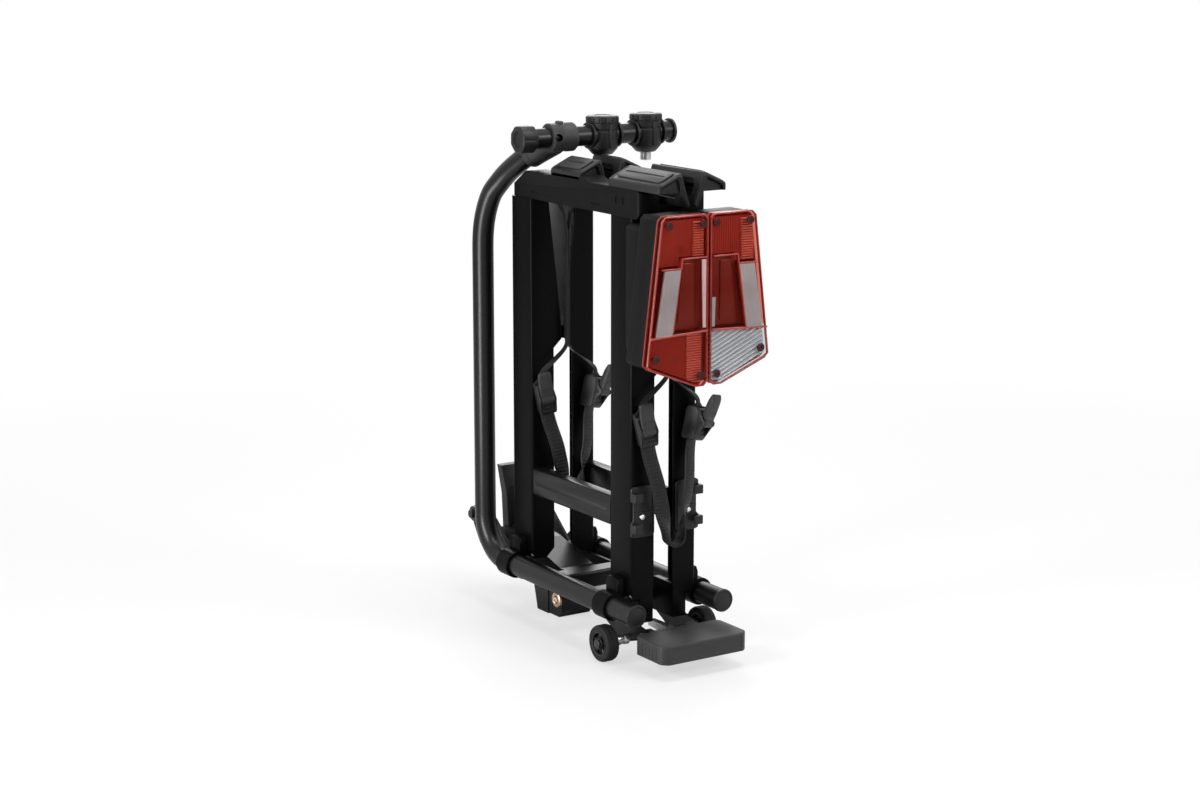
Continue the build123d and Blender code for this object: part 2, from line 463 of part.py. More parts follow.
def cross_rail():
    y0, y1 = NEAR_Y + TRAY_W + SEAT, FAR_Y - SEAT
    rail = box(-TRAY_X + 1, -TRAY_X + 23, y0, y1, RAIL_Z0, RAIL_Z1)
    rail = soften(rail, rail.edges().filter_by(Axis.Y), 5.0)
    return rail - box(-TRAY_X + 4, -TRAY_X + 20, y0 + 3, y1 - 3, RAIL_Z0 + 3, RAIL_Z1 - 3)


CLIP_Z0, CLIP_Z1 = 170.0, 240.0


def plate_clip():
    y1 = NEAR_Y - SEAT
    base = box(-TRAY_X - 3, -WALL_LOW_X - 1, y1 - 4, y1, CLIP_Z0, CLIP_Z1)
    base = soften(base, base.edges().filter_by(Axis.Y), 6.0)
    hook = box(-TRAY_X - 3, -TRAY_X + 2, y1 - 14, y1 - 2, CLIP_Z0 + 8, CLIP_Z1 - 8) \
        + box(-TRAY_X - 3, -TRAY_X + 12, y1 - 14, y1 - 11, CLIP_Z0 + 8, CLIP_Z1 - 8)
    rivet = rod(4.0, (-TRAY_X + 22, y1 - 6, CLIP_Z0 + 14), (-TRAY_X + 22, y1 - 3, CLIP_Z0 + 14))
    return base + hook + rivet


# ---- straps and buckles ----
STRAP_W = 20.0
NECK_W = 8.0             # the strap's narrow upper part
STRAP_T = 1.8
STRAP_GAP = 0.5
STRAP_TOP = TRAY_Z1 - 7.0
FORK_Z = 392.0
BUCKLE_IN, BUCKLE_OUT = 10.0, 14.0     # the buckle's inner and outer walls, from the strap's middle
BUCKLE_A, BUCKLE_B = 12.5, 11.0        # the buckle's two sides, from the strap's middle
BUCKLE_H = 46.0
BUCKLE_X, BUCKLE_Z = 40.0, 319.0
TURN = 72.0              # how far a buckle is turned from facing outwards to facing the lamps
LEAN = 12.0              # how far its top leans outwards
LOOP_Z = {"near": 158.0, "far": 176.0}
LOOP_R = 12.5
LOOP_OUT = 11.0          # how far the loops hang in front of the buckles
PIVOT_R = 3.0
HUB_R = 5.5
HUB_Z = 2.0
EAR_T = 2.5
BUCKLE_BACK = BUCKLE_IN * sin(radians(TURN)) + BUCKLE_B * cos(radians(TURN)) + SEAT


def buckle_y(which):
    return (NEAR_Y if which == "near" else FAR_Y) - BUCKLE_BACK


def ease(f):
    return f * f * (3 - 2 * f)


def strap_line(which):
    """Left half of the strap: places of its middle, how far its flat side is turned, and its width there."""
    xm = STRAP_GAP / 2 + STRAP_T / 2
    yc, yb = (NEAR_Y if which == "near" else FAR_Y) - 11.2, buckle_y(which)
    lean = sin(radians(LEAN)) / cos(radians(LEAN))
    reach = BUCKLE_H / 2 + 3
    line = [(xm + 11.5, yc, STRAP_TOP, 0, NECK_W), (xm + 4, yc, STRAP_TOP - 16, 0, NECK_W),
            (xm, yc, STRAP_TOP - 40, 0, NECK_W), (xm, yc, FORK_Z, 0, NECK_W)]
    n = 9
    x2, z2 = BUCKLE_X + reach * lean, BUCKLE_Z + reach
    for i in range(1, n + 1):
        f = i / n
        line.append((xm + (x2 - xm) * ease(f), yc + (yb - yc) * ease(f), FORK_Z + (z2 - FORK_Z) * f, TURN * ease(f),
                     NECK_W))
    line.append((x2 - 4 * lean, yb, z2 - 4, TURN, STRAP_W))
    x1, z1 = BUCKLE_X - reach * lean, BUCKLE_Z - reach
    line.append((x1, yb, z1, TURN, STRAP_W))
    zc = LOOP_Z[which] + LOOP_R
    xl = LOOP_R + STRAP_GAP / 2 - STRAP_T / 2
    n = 14
    for i in range(1, n + 1):
        f = i / n
        line.append((x1 + (xl - x1) * f, yb - LOOP_OUT * ease(min(f / 0.5, 1)), z1 + (zc - z1) * f,
                     TURN * (1 - ease(max(f - 0.55, 0) / 0.45)), STRAP_W))
    n = 8
    for i in range(1, n + 1):
        a = radians(90 * i / n)
        line.append((STRAP_GAP / 2 + (LOOP_R - STRAP_T / 2) * cos(a), yb - LOOP_OUT, zc - (LOOP_R - STRAP_T / 2) * sin(a),
                     0, STRAP_W))
    return [(-x, y, z, turn, w) for x, y, z, turn, w in line]


def strap(which):
    line = strap_line(which)
    rings = []
    for i, (x, y, z, turn, w) in enumerate(line):
        a, b = Vector(*line[max(i - 1, 0)][:3]), Vector(*line[min(i + 1, len(line) - 1)][:3])
        run = (b - a).normalized()
        flat = Vector(-sin(radians(turn)), cos(radians(turn)), 0)
        flat = (flat - run * flat.dot(run)).normalized()
        rings.append(Plane(origin=(x, y, z), x_dir=flat, z_dir=run) * Rectangle(w, STRAP_T))
    return loft(rings, ruled=True)


def facing(shape, which):
    """A buckle piece, drawn about the strap's middle and facing outwards, turned to the lamps and leant."""
    return Pos(-BUCKLE_X, buckle_y(which), BUCKLE_Z) * Rot(0, -LEAN, 0) * Rot(0, 0, TURN) * shape


def buckle(which):
    top = BUCKLE_H / 2
    b = box(-BUCKLE_OUT, BUCKLE_IN, -BUCKLE_A, BUCKLE_B, -top, top)
    b -= box(-BUCKLE_OUT + 4, BUCKLE_IN - 4, -BUCKLE_A + 2, BUCKLE_B - 0.5, -top - 1, top + 1)
    x, z = -BUCKLE_OUT - HUB_R - 0.5, HUB_Z
    for ya, yb in ((-BUCKLE_A, -BUCKLE_A + EAR_T), (BUCKLE_B - EAR_T, BUCKLE_B)):
        b += xz([(-BUCKLE_OUT + 1, -top + 4), (x - 2, z - HUB_R), (x - HUB_R, z), (x - 2, z + HUB_R),
                 (-BUCKLE_OUT + 1, top - 4)], ya, yb)
    return facing(b + rod(PIVOT_R, (x, -BUCKLE_A, z), (x, BUCKLE_B, z)), which)


def buckle_lever(which):
    x, z = -BUCKLE_OUT - HUB_R - 0.5, HUB_Z
    ya, yb = -BUCKLE_A + EAR_T + 0.4, BUCKLE_B - EAR_T - 0.4
    lever = rod(HUB_R, (x, ya, z), (x, yb, z))
    lever += xz([(x - 4, z), (x + 4.5, z + 2), (x + 3.5, z + 10), (x - 3, z + 34), (x - 7, z + 41), (x - 11, z + 38),
                 (x - 9, z + 26)], ya, yb)
    return facing(lever - rod(PIVOT_R + RUN, (x, ya - 2, z), (x, yb + 2, z)), which)


# ---- lamp ----
LAMP_Y0 = -62.0
SCREW_PROUD = 0.6
LENS_D = 14.0
LAMP_BACK = -6.0
LAMP_IN = 2.0
LAMP_TOP = TRAY_Z1 + 14.0
LAMP_TOP_X = 73.0
LAMP_OUT_X = 95.0
LAMP_OUT_Z = 415.0
LAMP_LOW_Z = 388.0
LAMP_TIP_X = 14.0


def lamp_outline(g):
    return [(-LAMP_IN - g, LAMP_LOW_Z + 6 + g), (-LAMP_IN - g, LAMP_TOP - 5 - g), (-LAMP_IN - 5 - g, LAMP_TOP - g),
            (-LAMP_TOP_X + 6, LAMP_TOP - g), (-LAMP_TOP_X + g, LAMP_TOP - 6), (-LAMP_OUT_X + g, LAMP_OUT_Z + 6),
            (-LAMP_OUT_X + 6 + g, LAMP_OUT_Z + g), (-LAMP_TIP_X - 6, LAMP_LOW_Z + g), (-LAMP_IN - 6 - g, LAMP_LOW_Z + g)]


def lamp():
    y0, y1 = LAMP_Y0, LAMP_Y0 + LENS_D
    lens = xz(lamp_outline(0.0), y0, y1) - xz(lamp_outline(2.5), y0 + 2.5, y1 + 1)
    y2 = y1 + SEAT
    house = xz(lamp_outline(1.0), y2, LAMP_BACK)
    house -= xz(lamp_outline(4.0), y2 - 1, LAMP_BACK - 3)
    neck = box(-62.0, -16.0, LAMP_BACK - 1, NEAR_Y - SEAT, LAMP_OUT_Z + 9, LAMP_TOP - 19)
    neck = soften(neck, neck.edges().filter_by(Axis.Y), 8.0)
    house += neck
    refl = xz(lamp_outline(5.0), y2 + 12, y2 + 14)
    screws, bulbs = [], []
    corners = [(-LAMP_IN - 8.4, LAMP_TOP - 12), (-LAMP_TOP_X + 10, LAMP_TOP - 12), (-LAMP_OUT_X + 13, LAMP_OUT_Z + 14),
               (-LAMP_IN - 10, LAMP_LOW_Z + 14)]
    for x, z in corners:
        lens += rod(5.0, (x, y0 + 1, z), (x, y1, z))
        lens -= rod(2.0 + 0.05, (x, y0 - 1, z), (x, y1 + 1, z))
        lens -= rod(3.6, (x, y0 - 1, z), (x, y0 + 1.0, z))
        house += rod(5.0, (x, y2, z), (x, LAMP_BACK - 2, z))
        house -= rod(2.0 + 0.02, (x, y2 - 1, z), (x, y2 + 12, z))
        refl -= rod(6.0, (x, y2, z), (x, y2 + 20, z))
        screws.append(rod(2.0, (x, y0 + 0.8, z), (x, y2 + 11.5, z)) + rod(3.4, (x, y0 - SCREW_PROUD, z), (x, y0 + 0.9, z)))
    rise = LAMP_TOP - LAMP_OUT_Z
    for x, z in ((-40.0, LAMP_OUT_Z + 0.773 * rise), (-44.0, LAMP_OUT_Z + 0.438 * rise), (-46.0, LAMP_OUT_Z + 10)):
        refl -= rod(6.0 + 0.03, (x, y2 + 8, z), (x, y2 + 20, z))
        bulbs.append(rod(6.0, (x, y2 + 6, z), (x, y2 + 24, z)) + Pos(x, y2 + 4, z) * Sphere(8.0))
    return lens, house, refl, bulbs, screws


def platforms():
    for name, sign in SIDES.items():
        for which, y in (("near", NEAR_Y), ("far", FAR_Y)):
            save(side(tray(y), sign), name + "_" + which + "_tray")
            save(side(buckle_lever(which), sign), name + "_" + which + "_buckle_lever")
        save(side(end_beam(), sign), name + "_end_beam")
        save([side(scoop(w), sign) for w in WINGS], name + "_wheel_scoops")
        save(side(cross_rail(), sign), name + "_cross_rail")
        save(side(plate_clip(), sign), name + "_plate_clip")
        save([side(strap(w), sign) for w in ("near", "far")], name + "_wheel_straps")
        save([side(buckle(w), sign) for w in ("near", "far")], name + "_buckles")
        lens, house, refl, bulbs, screws = lamp()
        save(side(lens, sign), name + "_lamp_lens")
        save(side(house, sign), name + "_lamp_housing")
        save(side(refl, sign), name + "_lamp_reflector")
        save([side(b, sign) for b in bulbs], name + "_lamp_bulbs")
        save([side(s, sign) for s in screws], name + "_lamp_screws")


frame_tubes()
cross_members()
coupling_plates()
wheels()
pedal()
coupling()
top_bar()
arm_clamps()
platforms()
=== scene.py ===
"""Folding two-bike tow-ball rack, folded up: its visible pieces, their finishes and a plain studio."""
from math import cos, pi, radians, sin

import bmesh
import bpy
from mathutils import Matrix, Vector


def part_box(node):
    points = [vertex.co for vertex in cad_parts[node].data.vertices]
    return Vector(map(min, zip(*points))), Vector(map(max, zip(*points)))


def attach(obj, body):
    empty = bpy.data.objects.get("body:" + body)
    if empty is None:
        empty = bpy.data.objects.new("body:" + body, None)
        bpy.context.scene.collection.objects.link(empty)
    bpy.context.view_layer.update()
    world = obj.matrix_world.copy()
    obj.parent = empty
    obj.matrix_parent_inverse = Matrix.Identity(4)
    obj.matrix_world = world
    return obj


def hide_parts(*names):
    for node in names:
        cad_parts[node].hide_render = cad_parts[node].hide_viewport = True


bl_info = {
    "name": "Folding bike rack",
    "version": (1, 0, 0),
    "blender": (4, 5, 0),
    "location": "View3D > Sidebar > Rack",
    "description": "Adds the visible pieces of a folded two-bike tow-ball rack to its frame",
    "category": "Object",
}

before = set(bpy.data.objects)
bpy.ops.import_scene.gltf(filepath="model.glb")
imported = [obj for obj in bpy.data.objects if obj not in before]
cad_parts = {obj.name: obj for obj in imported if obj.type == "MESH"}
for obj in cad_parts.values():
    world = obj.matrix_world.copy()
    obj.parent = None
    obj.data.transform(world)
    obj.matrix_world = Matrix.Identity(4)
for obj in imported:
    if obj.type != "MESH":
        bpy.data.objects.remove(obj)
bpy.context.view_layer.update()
MM = 0.001
# Pieces are drawn in millimetres about the plane between the platforms and the front ends of the base tubes.
HOME = Vector((
    (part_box("left_frame_tube")[0].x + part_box("right_frame_tube")[1].x) / 2,
    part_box("right_frame_tube")[0].y - 2 * MM,
    0,
))
SIDES = ("left", "right")
MERGE = 0.002 * MM             # points nearer than this are one
TUBE_X, TUBE_Z = 70, 75        # middles of the base tubes
TRAY_Y = {"near": 40, "far": 290}
CUPS_Y = ((-22, 96), (166, 238))
BAR = (262, 680)               # the top bar's middle, in y and z
CLAMP_X = {"inner": 47, "outer": 119}
AXLE = (62, 25)                # the small wheels' axle, in y and z
JAW_PIN = (266, 26)


# Modelling steps, in millimetres

def rest():
    """Leaves edit mode and selects nothing."""
    if bpy.context.object and bpy.context.object.mode != "OBJECT":
        bpy.ops.object.mode_set(mode="OBJECT")
    bpy.ops.object.select_all(action="DESELECT")


def use(ob):
    rest()
    ob.select_set(True)
    bpy.context.view_layer.objects.active = ob


def edit(ob):
    use(ob)
    bpy.ops.object.mode_set(mode="EDIT")
    bpy.ops.mesh.select_all(action="SELECT")


def outward(ob):
    edit(ob)
    bpy.ops.mesh.normals_make_consistent(inside=False)
    rest()
    return ob


def outline(pts, axis, lo, hi):
    """A closed outline, raised along an axis from lo to hi."""
    rest()
    bpy.ops.mesh.primitive_circle_add(vertices=len(pts), radius=1.0, fill_type="NGON")
    ob = bpy.context.object
    a, b, c = {"x": (1, 2, 0), "y": (0, 2, 1), "z": (0, 1, 2)}[axis]
    for v, p in zip(ob.data.vertices, pts):
        v.co[a], v.co[b], v.co[c] = p[0] * MM, p[1] * MM, lo * MM
    step = [0.0, 0.0, 0.0]
    step[c] = (hi - lo) * MM
    edit(ob)
    bpy.ops.mesh.extrude_region_move(TRANSFORM_OT_translate={"value": step})
    return outward(ob)


def block(x0, x1, y0, y1, z0, z1):
    rest()
    centre = Vector((x0 + x1, y0 + y1, z0 + z1)) / 2 * MM
    bpy.ops.mesh.primitive_cube_add(size=1.0, location=centre,
                                    scale=(abs(x1 - x0) * MM, abs(y1 - y0) * MM, abs(z1 - z0) * MM))
    bpy.ops.object.transform_apply(location=True, rotation=True, scale=True)
    return bpy.context.object


def soften(ob, width, segments=3, where=None, sharp=28):
    """Rounds the edges that where(p, q) picks by their ends, or all the sharp ones."""
    edit(ob)
    bpy.ops.mesh.select_mode(type="EDGE")
    bpy.ops.mesh.select_all(action="DESELECT")
    if where is None:
        bpy.ops.mesh.edges_select_sharp(sharpness=radians(sharp))
    else:
        bm = bmesh.from_edit_mesh(ob.data)
        for e in bm.edges:
            p, q = (v.co / MM for v in e.verts)
            if where(p, q):
                e.select_set(True)
        bmesh.update_edit_mesh(ob.data)
    bpy.ops.mesh.bevel(offset=width * MM, segments=segments, affect="EDGES", clamp_overlap=True)
    rest()
    return ob


def shape(ob, tool, how="DIFFERENCE"):
    """Cuts the tool from the piece, or joins or keeps what they share."""
    use(ob)
    m = ob.modifiers.new("shape", "BOOLEAN")
    m.operation, m.object, m.solver = how, tool, "EXACT"
    bpy.ops.object.modifier_apply(modifier=m.name)
    bpy.data.objects.remove(tool)
    return ob


def join(*obs):
    rest()
    for o in obs:
        o.select_set(True)
    bpy.context.view_layer.objects.active = obs[0]
    bpy.ops.object.join()
    return bpy.context.object


def rod(r, a, b, sides, bead=0.0):
    """A round bar from a to b, with its two rims rounded by bead."""
    a, b = Vector(a), Vector(b)
    rest()
    bpy.ops.mesh.primitive_cone_add(vertices=sides, radius1=r * MM, radius2=r * MM,
                                    depth=(b - a).length * MM, location=(a + b) / 2 * MM,
                                    rotation=(b - a).to_track_quat("Z", "Y").to_euler())
    bpy.ops.object.transform_apply(location=True, rotation=True, scale=True)
    ob = bpy.context.object
    return soften(ob, bead, 3, sharp=60) if bead else ob


def turned(profile, base, axis, steps=56):
    """A closed line of (radius, height) points, spun about an axis through base."""
    rest()
    bpy.ops.mesh.primitive_circle_add(vertices=len(profile), radius=1.0, fill_type="NOTHING")
    ob = bpy.context.object
    for v, (r, h) in zip(ob.data.vertices, profile):
        v.co = (r * MM, 0, h * MM)
    edit(ob)
    bpy.ops.mesh.spin(steps=steps, angle=2 * pi, center=(0, 0, 0), axis=(0, 0, 1))
    bpy.ops.mesh.select_all(action="SELECT")
    bpy.ops.mesh.remove_doubles(threshold=MERGE)
    bpy.ops.mesh.dissolve_degenerate(threshold=MERGE)
    outward(ob)
    turn = Vector(axis).to_track_quat("Z", "Y").to_matrix().to_4x4()
    ob.data.transform(Matrix.Translation(Vector(base) * MM) @ turn)
    return ob


def tube(r, pts):
    """A round bar along points; a point given with two handles keeps them, and the others are smooth."""
    rest()
    bpy.ops.curve.primitive_bezier_curve_add(location=(0, 0, 0))
    ob = bpy.context.object
    line = ob.data.splines[0]
    line.bezier_points.add(len(pts) - 2)
    for knot, p in zip(line.bezier_points, pts):
        fixed = hasattr(p[0], "__len__")
        knot.handle_left_type = knot.handle_right_type = "FREE" if fixed else "AUTO"
        knot.co = Vector(p[0] if fixed else p) * MM
        if fixed:
            knot.handle_left, knot.handle_right = Vector(p[1]) * MM, Vector(p[2]) * MM
    ob.data.dimensions = "3D"
    ob.data.bevel_depth = r * MM
    ob.data.bevel_resolution = 11
    ob.data.resolution_u = 18
    ob.data.use_fill_caps = True
    bpy.ops.object.convert(target="MESH")
    ob = bpy.context.object
    edit(ob)
    bpy.ops.mesh.remove_doubles(threshold=MERGE)
    return outward(ob)


def wire_line(r, pts):
    """A thin bead along straight runs."""
    runs = [rod(r, a, b, 12) for a, b in zip(pts, pts[1:])]
    for p in pts[1:-1]:
        rest()
        bpy.ops.mesh.primitive_uv_sphere_add(segments=12, ring_count=8, radius=r * MM, location=Vector(p) * MM)
        bpy.ops.object.transform_apply(location=True, rotation=True, scale=True)
        runs.append(bpy.context.object)
    return join(*runs)


def flip(ob):
    """Moves a piece to the other side of the middle plane."""
    ob.data.transform(Matrix.Scale(-1, 4, (1, 0, 0)))
    edit(ob)
    bpy.ops.mesh.flip_normals()
    rest()
    return ob


def twin(ob):
    """The same piece on the other side of the middle plane."""
    return flip(copy(ob))


def copy(ob, dy=0):
    use(ob)
    bpy.ops.object.duplicate()
    other = bpy.context.object
    other.data.transform(Matrix.Translation((0, dy * MM, 0)))
    return other


def done(ob, name, body, slot, finish, *nodes, smooth=32):
    """Names a piece, sets it in its place and gives it its finish."""
    use(ob)
    bpy.ops.object.shade_smooth_by_angle(angle=radians(smooth))
    ob.name = ob.data.name = name
    ob.data.transform(Matrix.Translation(HOME))
    ob.data.materials.clear()
    ob.data.materials.append(FINISHES[finish])
    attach(ob, body)
    if nodes:
        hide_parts(*nodes)
    rest()
    return ob


def pair(ob, name, slot, finish, *nodes, smooth=32):
    """One piece on each platform."""
    other = twin(ob)
    for side, piece in zip(SIDES, (ob, other)):
        done(piece, side + "_" + name, side + "_platform", slot, finish, *[side + "_" + n for n in nodes],
             smooth=smooth)


# Finishes

class Wire:
    """One output of a node, with the sums that are used on it."""

    def __init__(self, nodes, node, socket):
        self.nodes, self.node, self.socket = nodes, node, socket

    def __add__(self, other):
        return self.nodes.node("Math", {"operation": "ADD"}, self, other)

    def __mul__(self, other):
        return self.nodes.node("Math", {"operation": "MULTIPLY"}, self, other)

    __radd__, __rmul__ = __add__, __mul__


class Nodes:
    """An emptied node tree, and the one way to add a node to it."""

    def __init__(self, tree):
        self.tree = tree
        tree.nodes.clear()

    def feed(self, socket, value):
        if isinstance(value, Wire):
            self.tree.links.new(value.socket, socket)
        else:
            socket.default_value = value

    def node(self, kind, settings=None, *values, output=0, **named):
        """Sets first, then sockets by place or by name; returns the output that is asked for."""
        n = self.tree.nodes.new("ShaderNode" + kind)
        for key, value in (settings or {}).items():
            setattr(n, key, value)
        for i, value in enumerate(values):
            self.feed(n.inputs[i], value)
        for key, value in named.items():
            self.feed(next(s for s in n.inputs if key in (s.identifier, s.name.replace(" ", "_"))), value)
        found = next((s for i, s in enumerate(n.outputs) if output in (i, s.identifier, s.name)), None)
        return Wire(self, n, found)


class Finish(Nodes):
    """A material under construction: a shader, the place on the piece, and the nodes between them."""

    def __init__(self, name, **constants):
        self.mat = bpy.data.materials.new(name)
        self.mat.use_nodes = True
        super().__init__(self.mat.node_tree)
        self.surface = self.node("BsdfPrincipled", **constants)
        self.out = self.node("OutputMaterial", {}, self.surface).node
        self.place = self.node("TexCoord", output="Object")
        self.mat.diffuse_color = tuple(self.surface.node.inputs["Base Color"].default_value)
        FINISHES[name] = self.mat

    def noise(self, scale, detail=2.0, place=None):
        return self.node("TexNoise", Vector=place or self.place, Scale=scale, Detail=detail)

    def mix(self, share, a, b):
        return self.node("Mix", {"data_type": "RGBA"}, Factor_Float=share, A_Color=a, B_Color=b,
                         output="Result_Color")

    def stretch(self, x, y, z):
        return self.node("Mapping", Vector=self.place, Scale=(x, y, z))

    def put(self, **values):
        for key, value in values.items():
            self.feed(self.surface.node.inputs[key.replace("_", " ")], value)

    def bump(self, height, distance):
        self.put(Normal=self.node("Bump", Distance=distance, Height=height))

    def show(self, share, a, b):
        """Shows surface b over surface a by share."""
        self.feed(self.out.inputs[0], self.node("MixShader", {}, share, a, b))


FINISHES = {}


def shade(colour, k=1.0):
    """A colour made k times as bright, and opaque."""
    return (*(min(c * k, 1) for c in colour), 1)


def plastic(name, colour, rough, gloss, grain, depth):
    """Moulded plastic: a fine leather-like grain, slightly uneven in colour and gloss."""
    f = Finish(name, Base_Color=shade(colour), Specular_IOR_Level=gloss)
    cells = f.node("TexVoronoi", Vector=f.place, Scale=grain)
    cloud = f.noise(18.0, 3.0)
    f.put(Base_Color=f.mix(cloud, shade(colour, 0.8), shade(colour, 1.25)),
          Roughness=cloud * 0.12 + (rough - 0.06))
    f.bump(cells + f.noise(grain * 0.6) * 0.5, depth)


def paint(name, colour, rough, gloss):
    """Satin powder coat: a soft orange peel and a little dust-like variation."""
    f = Finish(name, Base_Color=shade(colour), Specular_IOR_Level=gloss)
    peel = f.noise(700.0, 2.0)
    cloud = f.noise(9.0, 4.0)
    f.put(Base_Color=f.mix(cloud, shade(colour, 0.8), shade(colour, 1.3)),
          Roughness=cloud * 0.1 + peel * 0.06 + (rough - 0.08))
    f.bump(peel, 0.00006)


def metal(name, colour, rough):
    """Bright zinc: fine drawn streaks along the height and a faint mottle."""
    f = Finish(name, Base_Color=shade(colour), Metallic=1.0)
    streak = f.noise(60.0, 4.0, f.stretch(20, 20, 1))
    mottle = f.noise(90.0, 3.0)
    f.put(Base_Color=f.mix(mottle, shade(colour, 0.75), shade(colour, 1.1)),
          Roughness=streak * 0.2 + (rough - 0.1))
    f.bump(streak, 0.00003)


def coloured(name, colour, dark, rough, ribs=0.0, coat=1.0):
    """Glossy coloured plastic, with fine upright flutes in it where ribs gives their number per metre."""
    f = Finish(name, Base_Color=shade(colour), Coat_Weight=coat * 0.5, Coat_Roughness=0.04, Specular_IOR_Level=0.3)
    cloud = f.noise(30.0, 3.0)
    f.put(Base_Color=f.mix(cloud, shade(dark), shade(colour)), Roughness=cloud * 0.1 + (rough - 0.05))
    if ribs:
        lines = f.node("TexWave", {"bands_direction": "X"}, Vector=f.place, Scale=ribs)
        f.bump(lines, 0.0004)


def tinted(name, colour, tint, gloss_share):
    """A thin coloured window: mostly clear in its tint, with a glossy skin that is stronger at a slant."""
    f = Finish(name, Base_Color=shade(colour, 0.35), Roughness=0.05, Specular_IOR_Level=0.4)
    clear = f.node("BsdfTransparent", Color=shade(tint))
    slant = f.node("LayerWeight", Blend=0.35, output="Facing")
    f.show(slant * 0.2 + f.noise(40.0) * 0.05 + gloss_share, clear, f.surface)


def make_finishes(c):
    paint("powder_coat", c.paint, 0.32, 0.28)
    paint("tray_coat", c.paint, 0.34, 0.05)
    plastic("moulded_black", c.plastic, 0.42, 0.3, 1500.0, 0.00012)
    plastic("case_black", c.plastic, 0.42, 0.06, 1500.0, 0.00012)
    plastic("moulded_grey", c.grey, 0.5, 0.25, 1500.0, 0.00012)
    plastic("band_black", c.band, 0.4, 0.2, 2400.0, 0.00005)
    plastic("tyre_rubber", c.rubber, 0.72, 0.2, 900.0, 0.0001)
    metal("bright_zinc", c.zinc, 0.3)
    metal("warm_metal", (0.62, 0.42, 0.28), 0.4)
    tinted("red_window", c.red, (0.95, 0.72, 0.68), 0.03)
    tinted("clear_window", (0.6, 0.6, 0.62), (0.96, 0.97, 0.975), 0.03)
    coloured("lens_rim", (0.5, 0.07, 0.055), (0.3, 0.03, 0.025), 0.15)
    # A pale pink for the lamps' ribs: a painted highlight, where light glints on them.
    coloured("bright_ribs", (0.85, 0.5, 0.42), (0.7, 0.36, 0.28), 0.25)
    coloured("mid_red", (0.4, 0.085, 0.06), (0.3, 0.055, 0.04), 0.3, 90.0)
    coloured("deep_red", (0.17, 0.035, 0.025), (0.12, 0.022, 0.016), 0.25)
    coloured("low_red", (0.34, 0.03, 0.012), (0.22, 0.02, 0.008), 0.25)
    coloured("pale_panel", (0.36, 0.3, 0.3), (0.24, 0.2, 0.2), 0.25, 90.0)
    # A pale pink for the strip by the left lens's edge: a painted highlight.
    coloured("pale_strip", (0.62, 0.42, 0.42), (0.5, 0.3, 0.3), 0.2)
    coloured("silver_plate", (0.55, 0.55, 0.56), (0.4, 0.4, 0.41), 0.25)
    coloured("white_ribs", (0.85, 0.85, 0.87), (0.68, 0.68, 0.7), 0.2)
    coloured("dark_screw", (0.06, 0.006, 0.006), (0.035, 0.004, 0.004), 0.5, coat=0.0)
    # Grey of the sheet inside the far trays: a painted reflection of the studio's white on the black trays.
    coloured("liner_grey", (0.5, 0.5, 0.52), (0.42, 0.42, 0.44), 0.45, coat=0.0)


# What a user would change

def size(name, about, default, low, high):
    return bpy.props.FloatProperty(name=name, description=about + ", mm", default=default, min=low, max=high)


def colour(name, about, default):
    return bpy.props.FloatVectorProperty(name=name, description=about, subtype="COLOR", default=default, min=0, max=1)


class RackSizes(bpy.types.PropertyGroup):
    tube_radius: size("Tube radius", "Outer radius of the base tubes and mast", 15.0, 10, 20)
    tray_bend: size("Tray bend", "Outer radius of the trays' folded edges", 4.0, 3, 8)
    hem_radius: size("Hem radius", "Radius of the bead on the trays' free edges", 1.5, 0.5, 3)
    tooth_pitch: size("Tooth pitch", "Spacing of the teeth on the wheel bands", 5.0, 3, 8)
    rib_pitch: size("Rib pitch", "Spacing of the upright ribs behind the lens", 3.2, 1.5, 6)


class RackColours(bpy.types.PropertyGroup):
    paint: colour("Paint", "Powder coat of the steel", (0.003, 0.003, 0.0034))
    plastic: colour("Plastic", "Black moulded parts", (0.006, 0.006, 0.0066))
    grey: colour("Grey plastic", "Fitting, decks and pedal", (0.034, 0.034, 0.036))
    band: colour("Band", "Toothed wheel bands", (0.017, 0.017, 0.018))
    rubber: colour("Rubber", "Tyres of the small wheels", (0.014, 0.014, 0.014))
    zinc: colour("Zinc", "Bright fasteners and rods", (0.7, 0.7, 0.69))
    red: colour("Lens red", "Tint of the lamps' lenses", (0.88, 0.055, 0.02))


# Frame

BEND_PULL = 32                 # how far a bend's handles reach
MAST = [((-70, 2, 75), (-70, -108, 75), (-70, 112, 75)),
        ((-70, 332, 75), (-70, 220, 75), (-70, 332 + BEND_PULL, 75)),
        ((-70, 390, 133), (-70, 390, 133 - BEND_PULL), (-70, 390, 240)),
        ((-70, 390, 508), (-70, 390, 400), (-70, 390, 534)),
        (-63, 382, 586), (-54, 367, 612), (-42, 335, 641), (-32, 303, 661),
        ((-26, 281, 671), (-30, 296, 664), (-24, 272, 675))]


